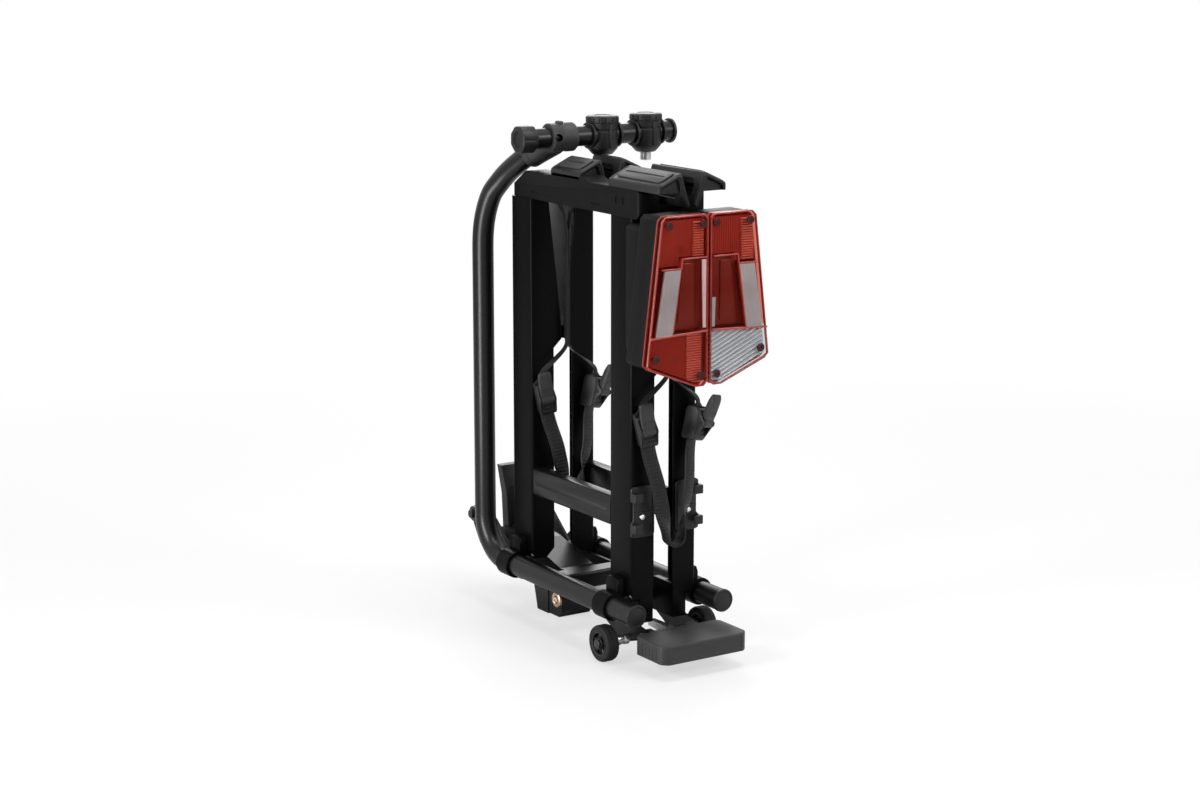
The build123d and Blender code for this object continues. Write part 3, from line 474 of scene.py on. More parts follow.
class RACK_OT_frame(bpy.types.Operator):
    """Add the base tubes, the bent mast and their caps"""
    bl_idname = "rack.frame"
    bl_label = "Frame"

    def execute(self, context):
        r = context.scene.rack_sizes.tube_radius
        mast = tube(r, MAST)
        done(mast, "mast_tube", "frame", "black_paint", "powder_coat", "left_frame_tube")
        right = rod(r, (TUBE_X, 2, TUBE_Z), (TUBE_X, 372, TUBE_Z), 56, bead=1.0)
        done(right, "right_tube", "frame", "black_paint", "powder_coat", "right_frame_tube")
        caps = []
        for x, y, d in ((-TUBE_X, 2, -1), (TUBE_X, 2, -1), (TUBE_X, 372, 1)):
            caps.append(turned([(0, 3.6), (10.5, 3.6), (11.5, 3.2), (12.5, 3.2), (13.2, 3.8), (14.6, 3.6),
                                (15.7, 2.4), (15.8, -0.2), (13, -0.4), (13, -12), (0, -12)],
                               (x, y, TUBE_Z), (0, d, 0)))
        caps.append(turned([(0, 3.0), (12, 3.0), (14, 3.8), (15.5, 4.4), (17, 3.6), (17.4, 2.0), (17, 0), (14.5, -1),
                            (12, -1), (12, -14), (0, -14)], (157, *BAR), (1, 0, 0)))
        done(join(*caps), "tube_caps", "frame", "black_plastic", "moulded_black", "tube_end_caps")
        return {"FINISHED"}


class RACK_OT_top(bpy.types.Operator):
    """Add the top bar, its fitting, the knob, and the two arm clamps with their rods"""
    bl_idname = "rack.top"
    bl_label = "Top bar and clamps"

    def execute(self, context):
        y, z = BAR
        bar = rod(14, (-64, y, z), (156, y, z), 56)
        done(bar, "cross_bar", "frame", "black_paint", "powder_coat", "top_bar")

        end = Vector((-26, 281, 671))
        d = Vector((0.22, -0.86, 0.42)).normalized()
        sleeve = turned([(0, 0), (14, 0), (19.4, 0), (19.9, 1), (19.9, 9), (19.2, 9.8), (19.2, 11), (19.6, 11.6),
                         (19.5, 48), (18.6, 54), (15.5, 57), (0, 57.5)], end - d * 41, d)
        body = turned([(0, 0), (18.5, 0), (19.8, 1.4), (19.8, 12), (19.2, 13), (19.2, 27), (19.8, 28), (19.8, 38.6),
                       (18.5, 40), (0, 40)], (-42, y, z), (1, 0, 0))
        tee = shape(body, sleeve, "UNION")
        rib = soften(outline([(-42, z - 10), (-33, z - 12), (-18, z + 22), (-26, z + 23)], "y", y - 6, y + 6), 2.5)
        tee = shape(tee, rib, "UNION")
        sight = Vector((-0.53, -0.82, 0.2))
        hole = Vector((-22.5, y, z - 3))
        tee = shape(tee, rod(5.2, hole + sight * 8, hole + sight * 40, 32))
        lip = turned([(5.2, 0.4), (6.6, 0.4), (7.0, -0.4), (6.6, -4), (5.2, -4)], hole + sight * 19.8, sight, 32)
        tee = join(tee, lip)
        done(tee, "bar_fitting", "frame", "grey_plastic", "moulded_grey", "tee_fitting")

        knob = outline([(19.6 * cos(radians(22.5 + 45 * i)) + y, 19.6 * sin(radians(22.5 + 45 * i)) + z)
                        for i in range(8)], "x", -90, -66)
        knob = soften(knob, 3.0, 4)
        for i in range(8):
            a = radians(45 * i)
            knob = shape(knob, rod(2.6, (-93, y + 20.2 * cos(a), z + 20.2 * sin(a)),
                                   (-71, y + 20.2 * cos(a), z + 20.2 * sin(a)), 16))
        knob = shape(knob, turned([(0, 0), (10, 0), (11.5, 2.4), (0, 2.4)], (-87.8, y, z), (-1, 0, 0), 40))
        collar = rod(15, (-67, y, z), (-63.8, y, z), 40, bead=0.6)
        done(join(knob, collar), "grip_knob", "bar_knob", "black_plastic", "moulded_black", "bar_knob")

        for name, x in CLAMP_X.items():
            clamp = turned([(0, 0), (12, 0), (14.2, 0.8), (20.6, 8), (21.3, 9.5), (21.4, 32), (20.4, 33), (20.4, 35),
                            (21.4, 36), (21.4, 44), (0, 44)], (x, y, z - 27), (0, 0, 1))
            clamp = shape(clamp, soften(block(x - 2.2, x + 2.2, y - 23.4, y - 18, z - 17, z + 15), 1.2), "UNION")
            for s in (-1, 1):
                ring = turned([(14.1, 0), (17.5, 0), (18.2, 1), (18.2, 3.4), (14.1, 3.4)],
                              (x + s * 20.2, y, z), (s, 0, 0), 40)
                clamp = join(clamp, ring)
            done(clamp, name + "_clamp_shell", name + "_clamp", "black_plastic", "moulded_black",
                 name + "_clamp_body")
            cap = turned([(0, 0.3), (22.2, 0.3), (22.9, 1.0), (22.9, 6.5), (22.2, 8.6), (20.2, 9.7), (12, 9.9),
                          (11, 9.2), (0, 9.2)], (x, y, z + 17), (0, 0, 1))
            for i in range(16):
                a = radians(22.5 * i + 5)
                cap = shape(cap, rod(1.5, (x + 23.4 * cos(a), y + 23.4 * sin(a), z + 16),
                                     (x + 23.4 * cos(a), y + 23.4 * sin(a), z + 24.5), 12))
            done(cap, name + "_clamp_cap", name + "_knob", "black_plastic", "moulded_black", name + "_clamp_knob")
            rings = [(0, 0), (6.4, 0), (7.9, 1.2)]
            for i in range(8):
                h = 2.0 + i * 1.2
                rings += [(7.9, h), (7.3, h + 0.25), (7.3, h + 0.55), (7.9, h + 0.8)]
            rings += [(7.9, 12), (7, 12), (7, 20), (0, 20)]
            done(turned(rings, (x, y, 641), (0, 0, 1)), name + "_bright_rod", name + "_clamp", "zinc_steel",
                 "bright_zinc", name + "_arm_rod")
        return {"FINISHED"}


# Platforms

def tray(y0, bend, hem):
    """A folded channel with a deep near wall, an outer plate and a far wall that is low where the wheel goes in."""
    y1 = y0 + 52
    body = outline([(-52, 96), (-47.2, 84), (-28, 84), (-16, 96), (-16, 384), (-3, 396), (-3, 595), (-52, 595)],
                   "y", y0, y1)
    body = soften(body, bend, 4, lambda p, q: p.x < -51.9 and q.x < -51.9 and abs(p.z - q.z) > 100)
    inner = outline([(-49.5, 86.5), (20, 86.5), (20, 700), (-49.5, 700)], "y", y0 + 2.5, y1 - 2.5)
    inner = soften(inner, bend - 2, 3, lambda p, q: p.x < -49 and q.x < -49 and abs(p.z - q.z) > 100)
    body = shape(body, inner)
    body = shape(body, outline([(-3, 412), (8, 412), (8, 601), (-24, 601), (-24, 595)], "y", y0 - 1, y0 + 4))
    body = shape(body, outline([(-44, 70), (-44, 384), (-7, 392), (-3, 396), (8, 396), (8, 70)], "y", y1 - 4, y1 + 1))
    beads = []
    for y, line in ((y0 + 1.25, [(-28, 85), (-16.6, 96), (-16.6, 384), (-3.8, 396), (-3.8, 412), (-24.4, 594)]),
                    (y1 - 1.25, [(-44, 97), (-44, 384), (-7.4, 392.4), (-3.8, 396.4), (-3.8, 594)])):
        beads.append(wire_line(hem, [(x, y, z) for x, z in line]))
    ys = y0 + 11
    sleeve = turned([(15.1, 0.4), (18.0, 0.4), (18.9, 1.4), (18.9, 28.6), (18.0, 29.6), (15.1, 29.6)],
                    (-TUBE_X, ys, TUBE_Z), (0, 1, 0))
    lug = outline([(-66, 90), (-46, 84), (-46, 112), (-63.5, 112), (-66, 104)], "y", ys + 1, ys + 29)
    lug = soften(lug, 1.6, 2)
    return join(body, sleeve, lug, *beads)


def beam():
    body = outline([(29, 595.2), (334, 595.2), (334, 613), (304, 632.5), (238, 632.5), (233, 637.6), (157, 637.6),
                    (142, 632.5), (29, 632.5), (23, 628), (23, 603)], "x", -52, -18)
    body = soften(body, 12, 6, lambda p, q: p.y < 24 and q.y < 24 and abs(p.x - q.x) < 0.1)
    body = soften(body, 2.2, 3)
    for y in (56, 72):
        body = shape(body, soften(block(-53, -50.8, y, y + 7, 611, 621), 0.6, 2))
    body = shape(body, soften(block(-53, -50.8, 316, 324, 602, 611), 0.6, 2))
    for y in (110, 262):
        body = shape(body, soften(block(-53, -51, y, y + 26, 604, 606.5), 0.5, 2))
    return body


def cup(y0, y1):
    """Wheel cup: a skirted top plate that rises to the middle, and a hollow wall that falls to the V."""
    skin = outline([(-52, 632), (-52, 640.5), (-50, 643), (-45, 645.4), (-22, 656.0), (-18.6, 657.4), (-16.6, 656.4),
                    (-14.4, 650), (-11.8, 640), (-8.6, 628), (-5.6, 617), (-4.6, 612.6), (-8.2, 612.2), (-13.4, 622),
                    (-18.4, 636), (-21.4, 647), (-24.5, 650.4), (-45, 640.6), (-47, 638.6), (-47, 632)], "y", y0, y1)
    skin = soften(skin, 1.7, 3, sharp=20)
    web = outline([(-50, 632), (-16, 632), (-16, 624), (-9, 618), (-19, 652), (-23, 651), (-46, 641), (-50, 640)],
                  "y", y0 + 4, y0 + 7)
    web2 = copy(web, dy=(y1 - y0) - 11)
    rails = []
    for y in (y0 + 2.8, y1 - 2.8):
        rails.append(wire_line(3.4, [(-47, y, 641.6), (-21.5, y, 653.4), (-18.2, y, 651.6), (-12.6, y, 633),
                                     (-6.6, y, 615.0)]))
    slot = soften(block(-34.2, -32.2, y0 + 12, y1 - 12, 646, 653.6), 0.5, 2)
    window = soften(block(-19.5, 0, y0 + 15, y1 - 15, 623, 648), 7, 5, lambda p, q: abs(p.x - q.x) > 10)
    return join(shape(shape(skin, slot), window), web, web2, *rails)


def cup_deck(y0, y1):
    """A thin plate with round corners that lies on the cup's slope."""
    slab = outline([(-47, 644.6), (-21, 656.6), (-21, 658.4), (-47, 646.4)], "y", y0 + 7, y1 - 7)
    mask = soften(block(-46, -21.6, y0 + 8, y1 - 8, 630, 670), 7, 5, lambda p, q: abs(p.z - q.z) > 20)
    slab = soften(shape(slab, mask, "INTERSECT"), 0.5, 2)
    return shape(slab, soften(block(-34.6, -32.2, y0 + 16, y1 - 16, 646, 660), 0.9, 2))


class RACK_OT_trays(bpy.types.Operator):
    """Add the four wheel trays, the end beams and the rails between the trays"""
    bl_idname = "rack.trays"
    bl_label = "Trays and beams"

    def execute(self, context):
        s = context.scene.rack_sizes
        for which, y0 in TRAY_Y.items():
            pair(tray(y0, s.tray_bend, s.hem_radius), which + "_channel", "black_paint", "tray_coat",
                 which + "_tray", smooth=40)
        pair(beam(), "end_casting", "black_plastic", "case_black", "end_beam")
        rail = soften(block(-51, -29, 92.2, 289.8, 176, 216), 5, 5, lambda p, q: abs(p.y - q.y) > 50)
        rail = soften(rail, 0.8, 2)
        groove = soften(block(-52, -50.4, 100, 282, 193, 199), 0.6, 2)
        pair(shape(rail, groove), "tie_rail", "black_paint", "powder_coat", "cross_rail")
        pair(join(*(cup(*y) for y in CUPS_Y)), "end_cups", "grey_plastic", "moulded_black", "wheel_scoops", smooth=38)
        pair(join(*(cup_deck(*y) for y in CUPS_Y)), "cup_decks", "grey_plastic", "moulded_grey")
        # A thin grey sheet on the inner face of each far tray's far wall: a painted reflection of the studio's white
        # in the black paint.
        reflection_sheet = outline([(-49.2, 594.5), (-49.2, 404), (-4.6, 404), (-4.6, 594.5)], "y", 339.0, 339.45)
        pair(reflection_sheet, "inner_liner", "grey_plastic", "liner_grey")
        skirt = outline([(-16.2, 40.1), (-37, 40.1), (-37, 42.6), (-18.7, 42.6), (-18.7, 91.8), (-16.2, 91.8)],
                        "z", 50, 97)
        pair(soften(skirt, 0.6, 2), "foot_skirt", "black_paint", "tray_coat")
        return {"FINISHED"}


# Bands and clips

BAND_Y = {"near": 28.8, "far": 278.8}
BUCKLE_Y = {"near": 26.89, "far": 276.89}
LOOP_Z = {"near": 158, "far": 176}
TEETH_Z = (166, 289)           # heights of the teeth between the buckle and the loop
TURN, LEAN = 72.0, 12.0        # how a buckle is turned to the lamps and leans outwards
NECK, WIDE = 8, 20             # widths of a band


def ease(f):
    """A smooth step from 0 to 1."""
    f = max(0.0, min(1.0, f))
    return f * f * (3 - 2 * f)


def band_line(which):
    """Left band, from its top to its loop: places of its middle, how far its flat side is turned, its width."""
    yc, yb, centre = BAND_Y[which], BUCKLE_Y[which], LOOP_Z[which] + 12.5
    line = [(12.65, yc, 588, 0, NECK), (5.15, yc, 572, 0, NECK), (1.15, yc, 548, 0, NECK), (1.15, yc, 392, 0, NECK)]
    for i in range(1, 21):
        f = i / 20
        line.append((1.15 + 44.38 * ease(f), yc + (yb - yc) * ease(f), 392 - 47 * f, TURN * ease(f), NECK))
    line += [(44.7, yb, 341, TURN, WIDE), (34.47, yb, 293, TURN, WIDE)]
    for i in range(1, 31):
        f = i / 30
        line.append((34.47 - 22.62 * f, yb - 11 * ease(f / 0.5), 293 + (centre - 293) * f,
                     TURN * (1 - ease((f - 0.55) / 0.45)), WIDE))
    for i in range(1, 13):
        a = radians(7.5 * i)
        line.append((0.25 + 11.6 * cos(a), yb - 11, centre - 11.6 * sin(a), 0, WIDE))
    return [(Vector((-x, y, z)), turn, w) for x, y, z, turn, w in line]


def band_frames(line):
    """At each place: the way along the band, and across its flat side."""
    out = []
    for i, (p, turn, w) in enumerate(line):
        run = (line[min(i + 1, len(line) - 1)][0] - line[max(i - 1, 0)][0]).normalized()
        flat = Vector((-sin(radians(turn)), cos(radians(turn)), 0))
        flat = (flat - run * flat.dot(run)).normalized()
        out.append((p, run, flat, w))
    return out


def band(which, pitch):
    """A twisted flat strip with a row of teeth on its outer face, below the buckle."""
    frames = band_frames(band_line(which))
    rest()
    bpy.ops.mesh.primitive_grid_add(x_subdivisions=2, y_subdivisions=len(frames) - 1, size=2.0)
    strip = bpy.context.object
    for v in strip.data.vertices:
        p, run, flat, w = frames[round((v.co.y + 1) / 2 * (len(frames) - 1))]
        v.co = (p + flat * v.co.x * w / 2) * MM
    use(strip)
    m = strip.modifiers.new("thick", "SOLIDIFY")
    m.thickness, m.offset = 1.7 * MM, 0
    bpy.ops.object.modifier_apply(modifier=m.name)
    soften(strip, 0.45, 2, sharp=50)
    teeth, gone = [], 0.0
    for (p, run, flat, w), (q, _, _, _) in zip(frames, frames[1:]):
        step = (q - p).length
        while gone < step:
            if w == WIDE and TEETH_Z[0] < p.z < TEETH_Z[1] or p.z < TEETH_Z[0]:
                at = p + (q - p) * gone / step
                tooth = soften(block(-6.8, 6.8, -1.3, 1.3, 0.5, 1.75), 0.4, 1)
                turn = Matrix((flat, run, flat.cross(run))).transposed().to_4x4()
                tooth.data.transform(Matrix.Translation(at * MM) @ turn)
                teeth.append(tooth)
            gone += pitch
        gone -= step
    return join(strip, *teeth)


def facing(ob, which):
    """Turns a buckle piece, drawn about the band's middle, to the lamps, and leans its top outwards."""
    ob.data.transform(Matrix.Translation(Vector((-40, BUCKLE_Y[which], 319)) * MM)
                      @ Matrix.Rotation(radians(-LEAN), 4, "Y") @ Matrix.Rotation(radians(TURN), 4, "Z"))
    return ob


def buckle(which):
    body = outline([(-14, -19), (-11, -23), (7, -23), (10, -20), (10, 17), (6, 23), (-6, 23), (-14, 18)],
                   "y", -12.5, 11)
    body = soften(body, 2.0, 3)
    body = shape(body, block(-9.5, 4.5, -10.6, 10.6, -30, 30))
    for z in (-15, -10, -5):
        body = shape(body, soften(block(-14.4, -12.6, -8, 7, z, z + 2.2), 0.4, 2))
    ears = []
    for ya, yb in ((-12.5, -10), (8.5, 11)):
        ears.append(soften(outline([(-13, -19), (-21.5, -3.8), (-25.2, 0), (-25.4, 4.2), (-21.5, 7.6), (-13, 19)],
                                   "y", ya, yb), 0.7, 2))
    pin = rod(3.0, (-20, -12.8, 2), (-20, 11.3, 2), 24, bead=0.5)
    return facing(join(body, *ears, pin), which)


def buckle_lever(which):
    ya, yb = -9.6, 8.1
    arm = outline([(-23.5, 3), (-16, 5), (-16.2, 12), (-20, 26), (-23.5, 38), (-26.5, 42.6), (-29.5, 42.4),
                   (-30.8, 39.4), (-30.2, 31), (-27.4, 17), (-24.8, 8)], "y", ya, yb)
    arm = soften(arm, 2.2, 3, lambda p, q: p.z > 36 and q.z > 36 and abs(p.y - q.y) < 0.1)
    arm = soften(arm, 0.9, 2, sharp=40)
    for i in range(3):
        z = 13 + i * 2.6
        x = -26.6 - (z - 13) * 0.2
        arm = shape(arm, rod(0.6, (x, ya + 2, z), (x, yb - 2, z), 10))
    hub = turned([(3.05, 0), (4.9, 0), (5.5, 0.6), (5.5, yb - ya - 0.6), (4.9, yb - ya), (3.05, yb - ya)],
                 (-20, ya, 2), (0, 1, 0), 32)
    return facing(join(arm, hub), which)


def clip():
    base = outline([(-54, 172), (-50, 170), (-22, 170), (-17, 174), (-17, 236), (-21, 240), (-50, 240), (-54, 237),
                    (-54, 222), (-50.5, 218), (-50.5, 194), (-54, 190)], "y", 35.8, 39.8)
    base = soften(base, 1.3, 3)
    hooks = []
    for z0, z1 in ((178, 190), (220, 232)):
        hook = outline([(-54.8, 25.8), (-42, 25.8), (-40.5, 27), (-42, 28.6), (-50.4, 28.8), (-50.4, 37),
                        (-54.8, 38)], "z", z0, z1)
        hooks.append(soften(hook, 0.9, 3))
    rib = soften(block(-49.6, -19, 34.6, 36.2, 203.4, 205), 0.5, 2)
    rib2 = soften(block(-21, -19.2, 34.4, 36.2, 176, 234), 0.5, 2)
    return join(base, rib, rib2, *hooks)


class RACK_OT_bands(bpy.types.Operator):
    """Add the wheel bands with their buckles, and the plate clips"""
    bl_idname = "rack.bands"
    bl_label = "Bands and clips"

    def execute(self, context):
        pitch = context.scene.rack_sizes.tooth_pitch
        bands = join(band("near", pitch), band("far", pitch))
        pair(bands, "wheel_bands", "strap_plastic", "band_black", "wheel_straps", smooth=40)
        pair(join(buckle("near"), buckle("far")), "band_buckles", "black_plastic", "moulded_black", "buckles")
        for which in BUCKLE_Y:
            left = buckle_lever(which)
            for side, ob in zip(SIDES, (left, twin(left))):
                stem = side + "_" + which + "_buckle"
                done(ob, stem + "_tab", stem, "black_plastic", "moulded_grey", stem + "_lever")
        pair(clip(), "clip_plate", "black_plastic", "moulded_black", "plate_clip")
        rivet = turned([(0, 2.2), (2.0, 2.1), (3.4, 1.4), (4.2, 0), (4.2, -2), (0, -2)],
                       (-37, 35.6, 198), (0, -1, 0), 32)
        pair(rivet, "clip_rivet", "zinc_steel", "bright_zinc")
        return {"FINISHED"}


# Lamps

def lamp_edge(g):
    """The outline of the left lens, drawn in by g."""
    return [(-2 - g, 394 + g), (-2 - g, 604 - g), (-7 - g, 609 - g), (-67, 609 - g), (-73 + g, 603), (-95 + g, 421),
            (-89 + g, 415 + g), (-20, 388 + g), (-8 - g, 388 + g)]


def zone(pts, y0, y1, round_by=1.0):
    return soften(outline(pts, "y", y0, y1), round_by, 2)


def ladder(pts, x0, x1, z0, z1, pitch, lean=0):
    """Short round-fronted ribs, one above the other, kept inside a zone and turned by lean."""
    bar = rod(pitch * 0.42, (x0, -54, z0), (x1, -54, z0), 10)
    bar.data.transform(Matrix.Scale(1.6, 4, (0, 1, 0)))
    bar.data.transform(Matrix.Translation((0, 54 * 0.6 * MM, 0)))
    use(bar)
    m = bar.modifiers.new("row", "ARRAY")
    m.use_relative_offset, m.use_constant_offset = False, True
    m.count = int((z1 - z0) / pitch)
    m.constant_offset_displace = (0, 0, pitch * MM)
    bpy.ops.object.modifier_apply(modifier=m.name)
    if lean:
        at = Vector(((x0 + x1) / 2, 0, (z0 + z1) / 2)) * MM
        bar.data.transform(Matrix.Translation(at) @ Matrix.Rotation(radians(lean), 4, "Y") @ Matrix.Translation(-at))
    return shape(bar, outline(pts, "y", -58, -50), "INTERSECT")


TOP_ZONE = [(-6, 556), (-6, 603), (-67, 603), (-68.5, 601), (-74.5, 545), (-44, 545), (-43, 556)]
MID_ZONE = [(-5, 463), (-5, 554), (-42, 554), (-56, 463)]
PANEL = [(-58.5, 457), (-44.5, 541), (-70.0, 541), (-83.5, 457)]
# A pale strip by the left lens's inner edge: a painted highlight, where light glints on the lens.
HIGHLIGHT_STRIP = [(-6.4, 464), (-6.4, 552), (-13.4, 552), (-11.4, 464)]
LOW_ZONE = [(-6, 395), (-6, 459), (-86.4, 455), (-90, 423), (-88, 420), (-20, 393), (-9, 393)]
BACK_Y = (-53, -51.5)          # the plates behind the lens
BEAD_Y = (-62.5, -58)          # raised lines between the zones of the lens
# Depth of the painted highlight strips on the lenses.
HIGHLIGHT_Y = (-62.3, -60.6)
SCREWS = ((-10.4, 597), (-63, 597), (-82, 429), (-12, 402))
BULBS = ((-40, 565), (-44, 500), (-46, 425))


class RACK_OT_lamps(bpy.types.Operator):
    """Add the two rear lamps: housings, lenses, panels, ribs, bulbs and screws"""
    bl_idname = "rack.lamps"
    bl_label = "Lamps"

    def execute(self, context):
        pitch = context.scene.rack_sizes.rib_pitch
        house = outline(lamp_edge(1.0), "y", -47.8, -6)
        house = soften(house, 5.0, 4, lambda p, q: p.y > -6.5 and q.y > -6.5)
        house = shape(house, outline(lamp_edge(4.0), "y", -49, -9))
        house = soften(house, 0.8, 2, sharp=40)
        neck = soften(block(-62, -16, -8, 39.6, 424, 590), 8, 5, lambda p, q: abs(p.y - q.y) > 20)
        neck = soften(neck, 1.0, 2, sharp=40)
        ribs = [soften(block(-64, -14, -6.6, 4, z, z + 3), 0.8, 2) for z in (446, 486, 526, 566)]
        pair(join(house, neck, *ribs), "lamp_case", "black_plastic", "case_black", "lamp_housing")

        shell = outline(lamp_edge(0.0), "y", -62, -48)
        shell = soften(shell, 3.0, 4, lambda p, q: p.y < -61.9 and q.y < -61.9)
        shell = shape(shell, outline(lamp_edge(2.6), "y", -59.6, -46))
        low = copy(shell)
        shell = shape(shell, block(-100, 0, -70, -40, 380, 460))
        low = shape(low, block(-100, 0, -70, -40, 460, 620))
        low_right = twin(low)
        pair(shell, "lamp_window", "red_lens", "red_window", "lamp_lens", smooth=40)
        done(low, "left_lamp_low_window", "left_platform", "red_lens", "red_window", smooth=40)
        done(low_right, "right_lamp_low_window", "right_platform", "red_lens", "clear_window", smooth=40)

        rim = outline(lamp_edge(-0.4), "y", -60.4, -57.4)
        rim = shape(rim, outline(lamp_edge(2.0), "y", -63, -55))
        seam = outline(lamp_edge(-0.2), "y", -49.6, -47.9)
        seam = shape(seam, outline(lamp_edge(2.0), "y", -51, -46))
        bar = zone([(-3, 458.6), (-3, 461.4), (-91, 457.4), (-91.4, 454.6)], -62.6, -58, 0.6)
        step = zone([(-43, 553.6), (-43, 555.6), (-5, 555.6), (-5, 553.6)], *BEAD_Y, 0.5)
        step2 = zone([(-44, 541.4), (-44, 543.4), (-74, 543.4), (-74, 541.4)], *BEAD_Y, 0.5)
        edge = zone([(-42.4, 554), (-44.2, 554), (-58.2, 460), (-56.4, 460)], *BEAD_Y, 0.5)
        pair(join(soften(rim, 0.6, 2), soften(seam, 0.4, 2), bar, step, step2, edge), "lamp_rim", "red_lens",
             "lens_rim")

        pair(zone(PANEL, -62.4, -58.8, 0.8), "lamp_pale_panel", "reflector", "pale_panel")
        # Pale strips on the lenses' inner edges: painted highlights. The left one is pale pink and the right one is
        # short.
        done(zone(HIGHLIGHT_STRIP, *HIGHLIGHT_Y, 0.4), "left_lamp_pale_strip", "left_platform", "reflector", "pale_strip")
        short_highlight = zone([(-3, 464), (-3, 502), (-8.6, 502), (-7.4, 464)], *HIGHLIGHT_Y, 0.4)
        done(flip(short_highlight), "right_lamp_pale_strip", "right_platform", "reflector", "pale_panel")
        pair(outline(TOP_ZONE, "y", *BACK_Y), "lamp_top_plate", "reflector", "mid_red", "lamp_reflector")
        pair(zone(MID_ZONE, -53, -50, 0.5), "lamp_mid_plate", "reflector", "deep_red")
        well = zone([(-20, 470), (-20, 548), (-38, 548), (-46, 470)], -56, -52, 1.5)
        pair(well, "lamp_mid_well", "reflector", "deep_red")
        low = outline(LOW_ZONE, "y", *BACK_Y)
        other = twin(low)
        done(low, "left_lamp_low_plate", "left_platform", "reflector", "low_red")
        done(other, "right_lamp_low_plate", "right_platform", "reflector", "silver_plate")
        # These ribs stand only in the bands where light glints on the lenses, and their pale colour is a painted
        # highlight.
        done(join(ladder(TOP_ZONE, -22, -6.5, 557, 602, pitch), ladder(LOW_ZONE, -31, -9, 394, 459, pitch)),
             "left_lamp_ribs", "left_platform", "reflector", "bright_ribs")
        done(flip(ladder(TOP_ZONE, -72, -53, 547, 602, pitch)), "right_lamp_ribs", "right_platform", "reflector",
             "bright_ribs")
        done(flip(ladder(LOW_ZONE, -110, 10, 360, 500, pitch * 1.7, 24)), "right_lamp_low_ribs", "right_platform",
             "reflector", "white_ribs")

        bulbs = []
        for x, z in BULBS:
            bulbs.append(turned([(0, 0), (3.4, 0.7), (6, 3.2), (7.2, 7), (6.4, 11), (5, 14), (5, 24), (0, 24)],
                                (x, -56, z), (0, 1, 0), 24))
        pair(join(*bulbs), "lamp_globes", "bulb_glass", "clear_window", "lamp_bulbs")
        heads = []
        for x, z in SCREWS:
            head = turned([(0, 0.5), (3.0, 0.5), (3.7, 0), (3.7, -2.2), (2, -2.4), (2, -11), (0, -11)], (x, -61.9, z),
                          (0, -1, 0), 28)
            head = shape(head, block(x - 2.6, x + 2.6, -63, -61.6, z - 0.5, z + 0.5))
            head = shape(head, block(x - 0.5, x + 0.5, -63, -61.6, z - 2.6, z + 2.6))
            ring = turned([(3.9, 0.2), (5.0, 0.2), (5.4, -0.4), (5.4, -2), (3.9, -2)], (x, -62.1, z), (0, -1, 0), 28)
            heads.append(join(head, ring))
        pair(join(*heads), "lamp_screw_heads", "red_lens", "dark_screw", "lamp_screws")
        return {"FINISHED"}


# Underneath

class RACK_OT_rollers(bpy.types.Operator):
    """Add the two small wheels, the axle ends and the foot pedal"""
    bl_idname = "rack.rollers"
    bl_label = "Wheels and pedal"

    def execute(self, context):
        y, z = AXLE
        for side, s in zip(SIDES, (-1, 1)):
            base, axis = (s * 70.5, y, z), (s, 0, 0)
            tyre = turned([(17.1, 0.6), (22, 0), (24, 1.2), (25, 4), (25, 8), (24.5, 8.4), (24.5, 10.6), (25, 11),
                           (25, 15), (24, 17.8), (22, 19), (17.1, 18.4)], base, axis)
            done(tyre, side + "_roller_tyre", side + "_wheel", "rubber", "tyre_rubber", side + "_wheel_tyre")
            hub = turned([(4.1, 0), (7.5, 0), (8.2, 1), (8.2, 5), (14, 6.4), (14.6, 1), (17, 0.4), (17, 18.6),
                          (14.6, 18), (14, 13.6), (8.2, 14.6), (8.2, 18), (7.5, 19), (4.1, 19)], base, axis)
            spokes = []
            for i in range(5):
                a = radians(72 * i + 18)
                spokes.append(rod(1.9, (s * 85.4, y + 7.5 * cos(a), z + 7.5 * sin(a)),
                                  (s * 85.4, y + 14.6 * cos(a), z + 14.6 * sin(a)), 14))
            done(join(hub, *spokes), side + "_roller_hub", side + "_wheel", "black_plastic", "moulded_black",
                 side + "_wheel_hub")

        axle = rod(4, (-90.4, y, z), (90.4, y, z), 32, bead=0.6)
        ends = []
        for s in (-1, 1):
            ends.append(turned([(0, 0), (5.4, 0), (6.4, 0.6), (6.4, 1.8), (4.6, 2.6), (0, 2.9)], (s * 90.5, y, z),
                               (s, 0, 0), 32))
            axle = join(axle,
                        turned([(4, 0), (7, 0), (7, 6), (6.2, 7), (6.2, 12), (7, 13), (7, 26.6), (4, 26.6)],
                               (s * 43.2, y, z), (s, 0, 0), 32))
        done(axle, "roller_axle", "frame", "zinc_steel", "bright_zinc", "wheel_axle")
        done(join(*ends), "roller_axle_ends", "frame", "black_plastic", "moulded_grey")

        w = 68
        pad = outline([(-w, -54), (-w + 8, -62), (w - 8, -62), (w, -54), (w, 2), (w - 6, 8), (-w + 6, 8), (-w, 2)],
                      "z", 23, 48)
        pad = soften(pad, 3.0, 4, lambda p, q: abs(p.z - q.z) > 20)
        pad = soften(pad, 1.8, 3, lambda p, q: p.z > 47.9 and q.z > 47.9)
        pad = shape(pad, soften(outline([(-w + 4, -52), (-w + 9, -58), (w - 9, -58), (w - 4, -52), (w - 4, 4),
                                         (-w + 4, 4)], "z", 20, 44), 2, 2))
        pad = shape(pad, soften(block(-57, 57, -64, -60.9, 27.4, 43.6), 1.2, 3))
        for y in range(-44, 4, 8):
            for x in (-w - 0.6, w - 1.2):
                pad = join(pad, soften(block(x, x + 1.8, y, y + 2.4, 26, 44), 0.5, 2))
        arms = []
        for s in (-1, 1):
            arm = outline([(2, 29), (24, 29), (31, 33), (32, 38), (31, 43), (24, 47), (2, 46)], "x", s * 30, s * 38)
            arms.append(soften(arm, 1.5, 3))
        done(join(pad, *arms), "step_pedal", "pedal", "black_plastic", "moulded_grey", "foot_pedal")
        return {"FINISHED"}


